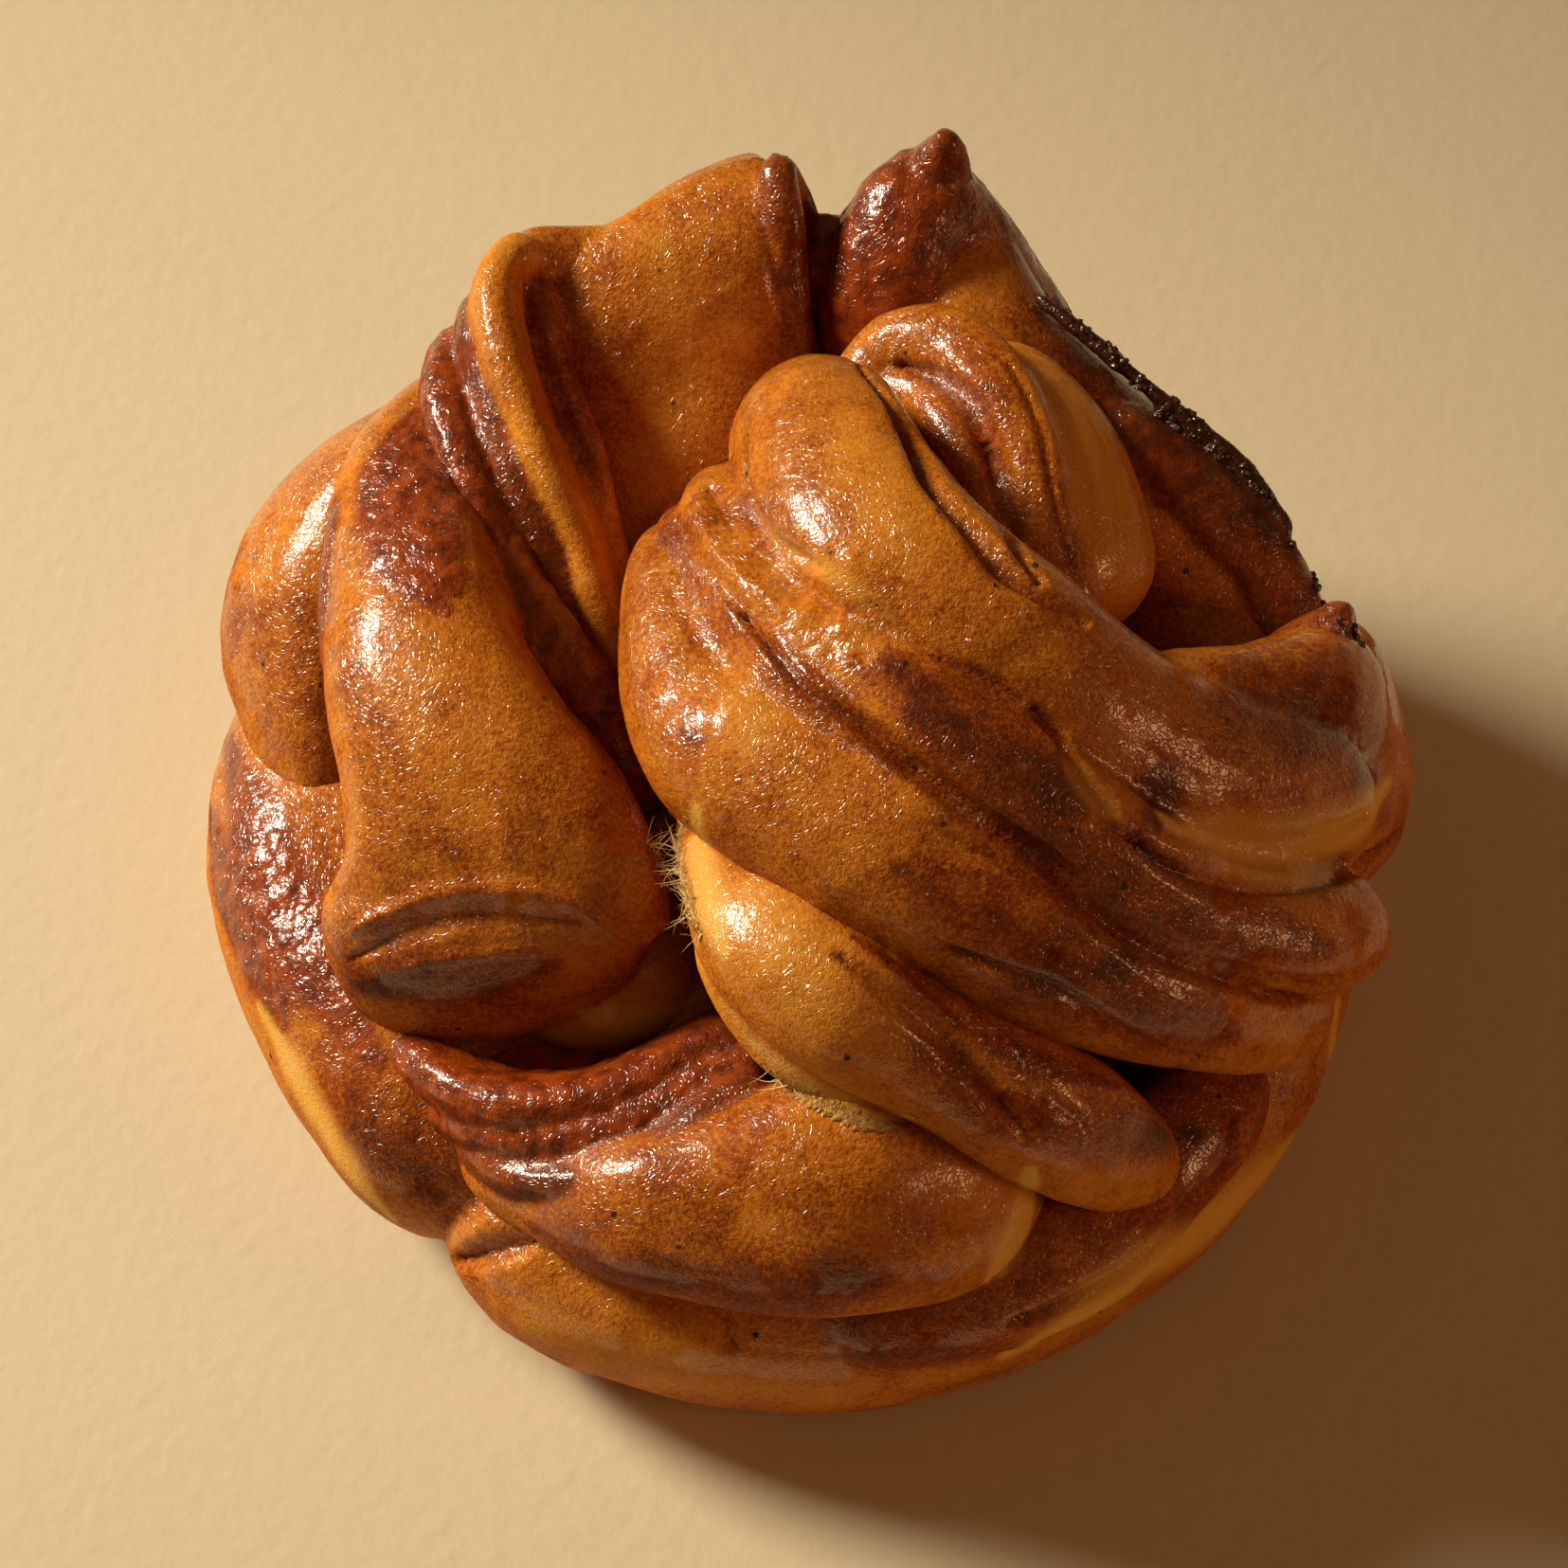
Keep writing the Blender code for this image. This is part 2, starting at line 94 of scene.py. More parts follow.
# %% Finishes
SKIN = (0.0, 0.0, 0.0)
PALE_SKIN = (0.0, 0.0, -0.35)
GOLD_SKIN = (0.0, 0.0, -0.15)
BROWN_SKIN = (0.0, 0.0, 0.25)
RIM = (0.45, 0.0, 0.4)
SYRUPY = (0.85, 0.0, 0.3)
SYRUPY_SKIN = (0.35, 0.0, 0.45)
FILLING = (1.0, 0.0, 0.2)
PALE_LIP = (0.0, 0.1, -0.45)
BURNT = (1.0, 0.0, 1.4)

# %% [markdown]
# The bun has eight forms that a baker would point to: the coil round its foot, a lobe and a strap
# on the left, a strap that stands up at the back, a fold beside it on the right, the knot of
# strands across the middle, and a roll and a strap in front. They could be carved from one block,
# but then no crease would run as dough runs. So each is laid as strands, in a short row of
# stations, as a plait is drawn before it is made. A roll has a place and a diameter at each
# station. A strap has a place, a width, a thickness and the way its broad face looks. Strands that
# bake together belong to one piece.

# %% Stations of the strands
STRANDS = {}


def strand(piece, name, finish, *stations):
    STRANDS.setdefault(piece, {})[name] = (finish, stations)


strand(
    "foot_coil", "coil_inner_roll", BROWN_SKIN, (2, -43, 16, 10), (10, -43, 17, 12),
    (18, -41, 18, 13), (25, -38, 19, 13), (30, -33, 20, 12), (35, -27, 20, 11), (37, -20, 20, 9),
)
strand(
    "left_lobe", "left_lobe", SKIN, (-36, -3, 13, 5, 7, (-0.5, 0, 0.8)),
    (-38, 1, 17, 9, 10, (-0.6, 0.1, 0.7)), (-39.5, 5.5, 20.5, 13, 12, (-0.7, 0.1, 0.6)),
    (-41, 11, 24, 16, 13, (-0.7, 0.2, 0.6)), (-41.5, 17.5, 27, 18, 14, (-0.6, 0.3, 0.7)),
    (-38, 25, 30, 19, 14, (-0.5, 0.5, 0.7)), (-30, 31, 31, 18, 14, (-0.2, 0.8, 0.5)),
    (-19, 39, 29, 18, 14, (0, 0.9, 0.4)),
)
strand(
    "left_lobe", "left_filler", FILLING, (-29, -20, 15, 12), (-30, -8, 16, 13), (-30, 8, 18, 14),
    (-28, 24, 20, 14),
)
strand(
    "left_strap", "left_strap", SKIN, (-27, 37, 33, 8, 9, (-0.1, -0.3, 0.9)),
    (-31, 30, 35.5, 10, 10, (-0.1, -0.3, 0.9)), (-32.5, 23, 37.5, 12, 12, (-0.2, -0.3, 0.9)),
    (-32, 16, 39, 14.5, 13, (-0.3, -0.2, 0.9)), (-31, 10, 40, 15.5, 14, (-0.3, -0.2, 0.9)),
    (-30, 4, 40, 17, 15, (-0.3, -0.2, 0.9)), (-27.5, -3, 39, 20, 15, (-0.3, -0.3, 0.9)),
    (-25, -9, 37, 25, 14, (-0.25, -0.4, 0.9)), (-24, -13, 34, 29, 13, (-0.2, -0.6, 0.7)),
    (-23.5, -15.5, 29.5, 30, 14, (0, -1, 0.3)), (-21, -15, 25, 26, 14, (0.1, -1, 0)),
    (-18, -14, 21, 20, 13, (0.1, -1, -0.3)),
)
strand(
    "left_strap", "left_strap_inside", PALE_SKIN, (-24, -15, 21, 9), (-18, -16, 22, 12),
    (-12, -15, 23, 13), (-7, -12, 24, 11),
)
strand(
    "left_strap", "left_strap_rim", RIM, (-29.5, 36, 35, 3.5), (-32.5, 31, 37, 4),
    (-35, 26, 38.5, 4.5), (-36.5, 20, 39.5, 5), (-37, 14, 40, 5.5), (-36.5, 8, 39, 6),
    (-35, 1, 37, 6),
)
strand(
    "left_strap", "left_strap_inner_fold", SYRUPY, (-24, 27, 34, 6), (-25, 20, 37, 7),
    (-24, 14, 37.5, 7.5), (-20, 8, 35.5, 7.5), (-15, 3, 31.5, 7), (-10, -2, 26, 6),
)
strand(
    "left_strap", "left_strap_nose", SKIN, (-36, -12, 31, 6), (-34, -14.5, 32, 7.5),
    (-30, -15, 33.5, 8), (-25, -14.5, 34, 8), (-19.5, -15, 33, 8), (-15, -16, 30.5, 8),
)
strand(
    "back_strap", "back_strap", SKIN, (-2, 38, 11, 27, 14, (-0.1, 1, -0.1)),
    (-5, 43, 21, 27, 12, (-0.2, 1, 0.1)), (-9.5, 46.5, 33, 26, 8, (-0.3, 0.9, 0.2)),
    (-12.5, 47.5, 41.5, 25, 5.5, (-0.35, 0.7, 0.7)), (-11.5, 45.5, 45, 24.5, 5, (-0.25, 0, 0.95)),
    (-10.5, 40.5, 42.5, 24, 5.5, (-0.05, -0.7, 0.75)), (-10, 35, 36.5, 24, 8, (0.05, -0.75, 0.7)),
    (-8.5, 29, 31, 22, 11, (0, -0.6, 0.8)), (-5, 22, 24, 20, 12, (0, -0.4, 0.9)),
)
strand(
    "back_strap", "back_strap_rim", BROWN_SKIN, (3, 44, 24, 6), (2, 47.5, 37, 5),
    (0.5, 49, 45, 4.2), (-0.5, 49, 49.5, 3.6), (0, 45.5, 48, 3.8), (0.5, 40.5, 42.5, 4.2),
    (1, 36, 37.5, 4.5), (1.5, 30, 31.5, 5),
)
strand(
    "back_strap", "back_strap_edge", SKIN, (-24, 43.5, 45, 5), (-19, 44.5, 43.5, 5.5),
    (-14.5, 45.5, 42.5, 5.5), (-10.5, 46.5, 43, 5.5), (-6, 47.5, 44.5, 5.5), (-3, 48, 45.5, 5.2),
    (-0.5, 48.5, 46.5, 4.6),
)
strand(
    "back_strap", "back_strap_crease", SKIN, (-21.5, 41.5, 43.5, 3), (-20.5, 35.5, 43.5, 3),
    (-19, 30.5, 42.5, 3.2), (-17.5, 26.5, 41, 3.4), (-16, 21.5, 38, 3.6), (-14, 15, 33, 4),
)
strand(
    "back_fold", "back_gap_roll", FILLING, (5, 43, 24, 11), (5, 44, 33, 10), (4, 46, 41, 8),
    (5, 47, 34, 10), (6, 43, 22, 12),
)
strand(
    "back_fold", "back_fold", SYRUPY, (10, 39, 26, 12, 12, (-0.3, -0.6, 0.7)),
    (9, 41, 37, 12, 12, (-0.4, -0.5, 0.8)), (10, 44, 43, 12, 12, (-0.3, -0.3, 0.9)),
    (12, 48, 46, 10, 10, (0, 0, 1)), (15, 47, 40, 13, 11, (0.3, 0.8, 0.4)),
    (19, 43.5, 30, 18, 12, (0.4, 0.9, 0.2)), (22, 38, 20, 22, 14, (0.5, 0.9, 0.1)),
    (24, 32, 11, 22, 14, (0.6, 0.8, 0)),
)
strand(
    "back_fold", "back_tip", RIM, (12, 48, 44, 9), (13, 49, 48, 7), (13.8, 49.5, 51, 4.6),
    (14, 49.5, 53, 2.8), (13.4, 49.5, 54.4, 1.8),
)
strand(
    "back_fold", "right_back_strap", SKIN, (13, 49, 43, 10, 9, (0.2, 0.2, 0.9)),
    (16, 42, 41, 13, 10, (0.3, -0.1, 0.9)), (19, 35, 39, 16, 11, (0.4, -0.1, 0.9)),
    (26, 29, 36, 17, 12, (0.5, 0, 0.8)), (34, 24, 31, 18, 13, (0.7, 0, 0.7)),
    (40, 18, 26, 18, 13, (0.9, 0, 0.5)), (44, 11, 21, 16, 12, (1, 0.1, 0.3)),
)
strand(
    "back_fold", "right_rim_upper", RIM, (25, 32, 39, 5), (30, 27, 38, 8), (36, 23, 36, 8),
    (41, 19, 33, 8), (44, 13, 29, 8), (46, 8, 25, 8),
)
strand(
    "back_fold", "burnt_rim", BURNT, (21.5, 39.5, 45, 0.9), (24.5, 37, 44.5, 1.2),
    (29.2, 33.4, 42.8, 1.4), (33.7, 30, 41, 1.5), (38.2, 27, 39, 1.5), (41.7, 23.6, 37.4, 1.3),
    (44.2, 20, 36, 1),
)
strand(
    "back_fold", "right_rim_lower", BROWN_SKIN, (27, 23, 26, 10), (34, 23, 27, 10), (39, 20, 27, 9),
    (44, 15, 25, 9), (47, 10, 22, 8),
)
strand(
    "knot", "knot_front_roll", SKIN, (-5, 14, 32, 10), (-8, 13, 41, 10), (-7, 4, 46, 13.5),
    (-4, -7, 48, 16), (4, -14, 49, 17), (13, -19, 47, 17), (22, -23, 43, 16), (32, -24, 37, 14),
    (39, -23, 31, 11), (44, -19, 27, 9),
)
strand(
    "knot", "knot_front_ridge", BROWN_SKIN, (-6, 16, 38, 6), (-8, 14, 46, 5.5), (-6, 8, 50, 6),
    (-3, 0, 53, 7), (2, -7, 55, 7.5), (8, -12, 55, 7.5), (14, -16, 53, 7.5), (21, -21, 49, 7),
    (28, -23, 43, 6.5), (35, -23, 37, 6),
)
strand(
    "knot", "knot_middle_roll", SKIN, (-2, 19, 33, 9), (-4, 18, 42, 8), (-5, 15, 48, 7.5),
    (-3, 7, 52, 9), (2, -1, 54, 10), (9, -8, 55, 11), (17, -14, 53, 11.5), (25, -18, 48, 11.5),
    (33, -20, 42, 11), (42, -19, 36, 11), (48, -14, 30, 10),
)
strand(
    "knot", "knot_top_roll", SKIN, (4, 22, 30, 13), (2, 24, 40, 13), (3, 21, 49, 14.5),
    (5, 12, 53, 17), (9, 4, 55, 17.5), (15, -1, 54, 17), (21, -5, 51, 17), (27, -7, 46.5, 17),
    (34, -8, 41.5, 17), (41, -6, 36, 16), (46, -2, 30, 14),
)
strand(
    "knot", "right_strap", SKIN, (23, -4, 48, 12, 10, (0.1, -0.4, 0.9)),
    (30, -6, 45, 16, 11, (0.2, -0.5, 0.8)), (37, -4, 40, 18, 12, (0.3, -0.6, 0.8)),
    (44, -1, 35, 21, 12, (0.6, -0.5, 0.6)), (47, 1, 30, 22, 11, (0.9, -0.2, 0.4)),
    (48.5, 6, 26, 22, 11, (1, 0.1, 0.2)), (47, 12, 21, 20, 12, (0.9, 0.4, 0.1)),
)
strand(
    "knot", "right_strap_tip", RIM, (40, 3, 38, 7), (44, 7, 38, 6), (46.5, 9, 39.5, 4),
    (47.5, 10, 41.5, 2.4),
)
strand(
    "knot", "curl_ridge", SKIN, (5, 28, 38, 6), (7.5, 32, 42.5, 6.5), (10, 34, 44, 7),
    (13, 33.5, 45.5, 7), (16, 31, 46.5, 7), (18.5, 26.5, 47, 7), (20.5, 21, 46.5, 6.5),
    (21.5, 16, 45.5, 6.5), (23, 12, 43, 6), (25, 8, 40, 5),
)
strand(
    "knot", "curl_inside", SKIN, (7, 29, 39, 5), (9.5, 30, 43, 5), (12.5, 28, 45, 5),
    (14.5, 24, 46, 5.5), (16.5, 19.5, 46, 5.5), (18, 15.5, 45.5, 5.5), (19.5, 12, 44, 5),
    (21.5, 9, 42, 5),
)
strand(
    "knot", "curl_outside", PALE_SKIN, (14, 34, 38, 12, 12, (0.2, 0, 1)),
    (18, 30, 40, 14, 14, (0.5, -0.1, 0.9)), (22, 23, 40, 15, 15, (0.6, -0.2, 0.8)),
    (24, 16, 38.5, 15, 15, (0.6, -0.3, 0.7)), (25, 10, 35, 14, 14, (0.5, -0.4, 0.7)),
)
strand(
    "front_roll", "front_roll", GOLD_SKIN, (-6, -7, 34, 6), (-4, -16, 40, 9), (-1, -23, 43, 11.5),
    (4, -28, 43, 12.5), (10, -30, 40, 12), (18, -33, 35.5, 12), (24, -34, 30, 11.5),
    (28.5, -34, 24.5, 9), (31, -32.5, 20.5, 6),
)
strand(
    "front_roll", "front_roll_lip", PALE_LIP, (-5, -14, 37, 5, 5, (-0.2, -0.7, 0.7)),
    (-3, -23, 39, 8, 6, (-0.2, -0.7, 0.7)), (2, -28, 38, 11, 7, (-0.1, -0.8, 0.6)),
    (9, -31, 35, 12, 7, (0, -0.8, 0.6)), (16, -34, 31, 11, 7, (0, -0.8, 0.6)),
    (22, -34.5, 26.5, 9, 6, (0, -0.8, 0.6)),
)
strand(
    "front_strap", "front_strap_face", SYRUPY, (-29, -23, 18, 8), (-23, -25, 19, 9),
    (-16, -25, 18, 9), (-9, -24, 18, 9), (-2, -22, 19, 9),
)
strand(
    "front_strap", "front_strap", SKIN, (-26, -28, 19, 6, 7, (-0.2, -0.6, 0.7)),
    (-22.5, -31.5, 20, 9, 8, (-0.2, -0.6, 0.7)), (-19, -34.5, 21.5, 10, 9, (-0.1, -0.6, 0.7)),
    (-12, -38.5, 25, 13, 11, (0, -0.6, 0.8)), (-4, -39, 26.5, 17.5, 13, (0, -0.6, 0.8)),
    (4, -39, 28, 20, 14, (0.1, -0.6, 0.8)), (12, -38, 26, 17, 13, (0.1, -0.6, 0.8)),
    (17, -36, 23, 14, 11, (0.2, -0.6, 0.8)), (20, -32, 20, 10, 9, (0.3, -0.5, 0.8)),
)

# %% [markdown]
# A cut edge shows its layers like the pages of a book: thin leaves that stand side by side, with
# grooves between them. A leaf is a strand too. It has a place and a thickness at each station, it
# stands on edge, and its depth runs down and back into the bun.

# %% The leaves of the cut edges
LEAF_HEIGHT = 2.0
LEAF_DEPTH_WAY = np.array((0.0, 0.5, -0.87))


def unit(vectors):
    return vectors / np.linalg.norm(vectors, axis=1, keepdims=True)


def leaf(piece, name, finish, *stations):
    run = np.array(stations, float)
    tangent = unit(np.gradient(run[:, :3], axis=0))
    face = unit(np.cross(LEAF_DEPTH_WAY, tangent))
    sink = (LEAF_HEIGHT - 1) / 2 * run[:, 3:4] * LEAF_DEPTH_WAY
    middle = (run[:, :3] + sink).tolist()
    sizes = run[:, 3].tolist()
    rows = [(*m, size * LEAF_HEIGHT, size, tuple(f)) for m, size, f in zip(middle, sizes, face)]
    strand(piece, name, finish, *rows)


leaf(
    "back_strap", "pale_leaf", PALE_SKIN, (-22.5, 43.5, 45, 5), (-25, 38.5, 46, 4.8),
    (-24, 32, 45.5, 4.4), (-22, 26.5, 44.5, 4.2), (-20, 22, 43, 4.2), (-17.5, 18, 40, 4.2),
    (-16, 13.5, 36.5, 4), (-14, 9.5, 32, 4), (-11.5, 5.5, 26, 4),
)
leaf(
    "back_strap", "brown_leaf", SYRUPY_SKIN, (-26.5, 40, 41.5, 4), (-26.5, 34.5, 42.5, 4.4),
    (-25, 29.5, 42.5, 4.6), (-23.5, 24, 41.5, 5), (-21.5, 19.5, 39.5, 5.2), (-19.5, 15.5, 36, 5.4),
    (-17, 11, 31.5, 5.4), (-14, 6.5, 26, 5.4), (-10.5, 1.5, 20, 5),
)
leaf(
    "back_strap", "syrup_leaf", SYRUPY, (-29, 38, 38.5, 4), (-29.5, 32, 40.5, 4.6),
    (-28.5, 27, 41.5, 5.2), (-27, 22.5, 41, 5.6), (-25.5, 18, 39.5, 5.8), (-24, 14, 37.5, 5.8),
    (-22, 10, 34.5, 5.4), (-20, 6, 31, 4.5),
)
leaf(
    "front_strap", "upper_leaf", SYRUPY, (-32, -21, 20, 4), (-28.5, -26, 24, 5.5),
    (-24, -29.5, 26.5, 5.5), (-19.5, -30.5, 28, 5.5), (-14.5, -30, 28.5, 5.5),
    (-9.5, -27.5, 28.5, 5.5), (-4, -24.5, 28, 5.5), (0, -22, 27, 5),
)
leaf(
    "front_strap", "middle_leaf", SYRUPY, (-28, -28, 21, 4), (-24, -31.5, 24.5, 4),
    (-20, -33, 26.5, 4), (-15.5, -33, 28, 4), (-10.5, -31.5, 29, 4), (-6, -29, 29.5, 4),
    (-1.5, -26.5, 29.5, 4),
)
leaf(
    "front_strap", "lower_leaf", SYRUPY_SKIN, (-26.5, -29, 19.5, 3), (-23.5, -33.5, 22.5, 3.8),
    (-19.5, -36, 25, 4.4), (-14.5, -37, 27.5, 4.4), (-10.5, -36, 29.5, 4.2), (-7, -33.5, 31, 4),
    (-1.5, -30, 31.5, 4),
)

# %% [markdown]
# The strand round the foot is easier to write as a ring: an angle, a radius, a height, a width and
# a thickness. It runs once round and ends over its own start, which makes the notch in front. A
# second ring lies on it and swells towards its middle. The knot's heart, which the strands hide, is
# a few short, fat rolls.

# %% The rings round the foot, and the heart
COIL = (
    (226, 36.5, 11, 22, 18), (245, 37, 11, 24, 21), (280, 37.5, 11, 25, 22),
    (360, 38.5, 11, 25, 22), (450, 40.5, 12, 25, 24), (500, 39, 12, 25, 24),
    (537, 38.5, 13, 25, 25), (562, 36, 13, 25, 25), (580, 35.5, 13, 25, 23),
    (592, 34.5, 14, 21, 19), (602, 32.5, 17, 16, 13),
)
COIL_STEP = 6.0
COIL_LEAN = 12
UPPER_COIL_FIRST = -40
UPPER_COIL_LAST = 165
UPPER_COIL_STEP = 10
UPPER_COIL = {"radius": 36, "height": 22, "width": 15, "thickness": 20, "lean": 27}
UPPER_COIL_SWELL = {"radius": 2.5, "height": 3}
HEART = {
    "front_to_back": ((0, -30, 12, 30), (0, -10, 14, 30), (0, 14, 14, 30), (0, 36, 13, 28)),
    "left_to_right": ((-30, 4, 13, 28), (-10, 4, 14, 30), (14, 4, 14, 30), (34, 4, 13, 28)),
    "falling": ((-22, 24, 12, 26), (0, 4, 14, 30), (24, -16, 12, 26)),
    "rising": ((-22, -16, 12, 26), (0, 4, 14, 30), (24, 24, 12, 26)),
    "under_knot": ((-6, 2, 26, 26), (8, -4, 30, 32), (22, -8, 28, 30), (34, -8, 24, 20)),
    "under_curl": ((6, 24, 24, 24), (10, 14, 26, 28), (20, 6, 32, 22)),
}


def ring_row(degrees, radius, height, width, thickness, lean):
    turn = math.radians(degrees)
    tilt = math.radians(lean)
    out = (math.cos(turn), math.sin(turn))
    face = (out[0] * math.sin(tilt), out[1] * math.sin(tilt), math.cos(tilt))
    return (out[0] * radius, out[1] * radius, height, width, thickness, face)


def ring_rows():
    table = np.array(COIL, float)
    rows = []
    for degrees in np.arange(table[0, 0], table[-1, 0] + 1, COIL_STEP):
        sizes = (np.interp(degrees, table[:, 0], table[:, k]) for k in range(1, table.shape[1]))
        rows.append(ring_row(degrees, *sizes, COIL_LEAN))
    return rows


def upper_ring_rows():
    length = UPPER_COIL_LAST - UPPER_COIL_FIRST
    rows = []
    for degrees in range(UPPER_COIL_FIRST, UPPER_COIL_LAST + 1, UPPER_COIL_STEP):
        swell = math.sin(math.pi * (degrees - UPPER_COIL_FIRST) / length)
        more = {key: UPPER_COIL[key] + value * swell for key, value in UPPER_COIL_SWELL.items()}
        rows.append(ring_row(degrees, **UPPER_COIL | more))
    return rows


strand("foot_coil", "ring", SKIN, *ring_rows())
strand("foot_coil", "upper_ring", SKIN, *upper_ring_rows())
for name, stations in HEART.items():
    strand("heart", name, FILLING, *stations)
print({piece: len(strands) for piece, strands in STRANDS.items()})

# %% [markdown]
# Between the stations the dough runs smoothly. Straight stretches would leave a kink at each
# station, so a cubic curve through the rows gives a new row every 0.7 mm, for the place and the
# sizes together.

# %% A smooth run through the stations
LEAST_ROWS = 12


def smooth_rows(rows, gap):
    rows = np.array(rows, float)
    steps = np.linalg.norm(np.diff(rows[:, :3], axis=0), axis=1)
    knots = np.concatenate([[0], np.cumsum(steps)])
    before = np.maximum(np.arange(len(rows)) - 1, 0)
    after = np.minimum(np.arange(len(rows)) + 1, len(rows) - 1)
    slopes = (rows[after] - rows[before]) / (knots[after] - knots[before])[:, None]
    along = np.linspace(0, knots[-1], max(LEAST_ROWS, round(knots[-1] / gap)))
    low = np.clip(np.searchsorted(knots, along) - 1, 0, len(rows) - 2)
    length = (knots[low + 1] - knots[low])[:, None]
    t = (along - knots[low])[:, None] / length
    run = (2 * t**3 - 3 * t**2 + 1) * rows[low] + (3 * t**2 - 2 * t**3) * rows[low + 1]
    bend = (t**3 - 2 * t**2 + t) * slopes[low] + (t**3 - t**2) * slopes[low + 1]
    return run + bend * length, along


# %% [markdown]
# The section of a strand lies between a circle and a box with round corners, as soft dough does
# under its own weight. A curve object with a bevel keeps one section all along, but dough goes from
# flat to round, so here the section is swept by hand, into a closed tube with round ends. The tube
# remembers how far along and how far round each point lies, in millimetres, so that stretch lines
# in the crust can follow the strand.

# %% Sweeping a strand
NAMES = ("filling", "crumb", "brown", "along", "across")
STATION_GAP = 0.7
SECTION_POINTS = 60
SECTION_POWER = 0.85
END_SHRINK = 0.15
ROLL_FACE = (0.0, -0.4, 0.9)
STRAND_OFFSET = 37.0


def rounded(waves):
    return np.sign(waves) * np.abs(waves) ** SECTION_POWER


def swept(rows, finish, number):
    rows = [(*row, row[3], *ROLL_FACE) if len(row) == 4 else (*row[:5], *row[5]) for row in rows]
    run, along = smooth_rows(rows, STATION_GAP)
    tangent = unit(np.gradient(run[:, :3], axis=0))
    face = run[:, 5:8]
    face = unit(face - tangent * (face * tangent).sum(1, keepdims=True))
    side = np.cross(tangent, face)
    angle = np.linspace(0, 2 * math.pi, SECTION_POINTS, endpoint=False) - math.pi / 2
    from_end = np.minimum(along, along[-1] - along)
    near = np.minimum(1, from_end / (run[:, 4] / 2))
    shrink = np.maximum(END_SHRINK, np.sqrt(1 - (1 - near) ** 2))
    wide = (run[:, 3] / 2 * shrink)[:, None] * rounded(np.cos(angle))
    thick = (run[:, 4] / 2 * shrink)[:, None] * rounded(np.sin(angle))
    points = run[:, None, :3] + side[:, None] * wide[..., None] + face[:, None] * thick[..., None]
    turn = angle[None] * (run[:, 3:5].mean(1) / 2)[:, None]
    values = dict(zip(NAMES, (np.full(turn.shape, share) for share in finish)))
    values["along"] = np.repeat(along[:, None], SECTION_POINTS, 1) + STRAND_OFFSET * number
    values["across"] = turn
    return points + SHIFT, values


def tube_faces(rings, around, first):
    ring = np.arange(rings - 1)[:, None] * around
    here = np.arange(around)[None]
    beyond = (here + 1) % around
    sides = np.stack([ring + here, ring + beyond, ring + around + beyond, ring + around + here], -1)
    start = list(range(around))[::-1]
    end = list(range((rings - 1) * around, rings * around))
    return [[first + v for v in face] for face in [*sides.reshape(-1, 4).tolist(), start, end]]


# %% All strands of one piece, as one rough mesh
def rough_mesh(name, strands):
    points = []
    faces = []
    values = {key: [] for key in NAMES}
    count = 0
    for number, (finish, rows) in enumerate(strands):
        ring_points, found = swept(rows, finish, number)
        faces += tube_faces(len(ring_points), SECTION_POINTS, count)
        points.append(ring_points.reshape(-1, 3))
        count += len(points[-1])
        for key in NAMES:
            values[key].append(found[key].ravel())
    data = bpy.data.meshes.new(name)
    data.from_pydata((np.concatenate(points) * MM).tolist(), [], faces)
    for key in NAMES:
        layer = data.attributes.new(key, "FLOAT", "POINT")
        layer.data.foreach_set("value", np.concatenate(values[key]).astype(np.float32))
    return linked(name, data)


def made_real(thing):
    graph = bpy.context.evaluated_depsgraph_get()
    data = bpy.data.meshes.new_from_object(thing.evaluated_get(graph))
    thing.modifiers.clear()
    thing.data = data


# %% [markdown]
# Dough strands that touch in the oven grow into one skin with a soft groove between them, where
# plain tubes would only cross with a hard seam. A voxel remesh melts the tubes of one piece
# together at about half a millimetre, and a little smoothing rounds the grooves. Sealed hollows
# inside are dropped with the smaller shells.

# %% Melting a piece's strands into one skin
SOFTEN_FACTOR = 0.5


def outer_shell(thing):
    mesh = bmesh.new()
    mesh.from_mesh(thing.data)
    left = set(mesh.verts)
    shells = []
    while left:
        shell = [left.pop()]
        for vert in shell:
            for edge in vert.link_edges:
                other = edge.other_vert(vert)
                if other in left:
                    left.remove(other)
                    shell.append(other)
        shells.append(shell)
    shells.sort(key=len)
    for shell in shells[:-1]:
        bmesh.ops.delete(mesh, geom=shell, context="VERTS")
    mesh.to_mesh(thing.data)
    mesh.free()


def melted(name, rough, voxel, rounds):
    skin = linked(name, rough.data.copy())
    melt = skin.modifiers.new("melt", "REMESH")
    melt.mode = "VOXEL"
    melt.voxel_size = voxel * MM
    soften = skin.modifiers.new("soften", "SMOOTH")
    soften.factor = SOFTEN_FACTOR
    soften.iterations = rounds
    made_real(skin)
    outer_shell(skin)
    return skin


# %% The strands of every piece
VOXELS = {"foot_coil": 0.58, "heart": 1.0}
VOXEL = 0.42
SOFTENING = {"back_strap": 3, "front_strap": 2, "back_fold": 4, "knot": 4, "left_strap": 7}
SOFTENINGS = 6

pieces = {}
rough = {}
for name, strands in STRANDS.items():
    rough[name] = rough_mesh(name + "_rough", strands.values())
    rounds = SOFTENING.get(name, SOFTENINGS)
    pieces[name] = melted(name, rough[name], VOXELS.get(name, VOXEL), rounds)
    print(name, len(pieces[name].data.polygons), "faces")

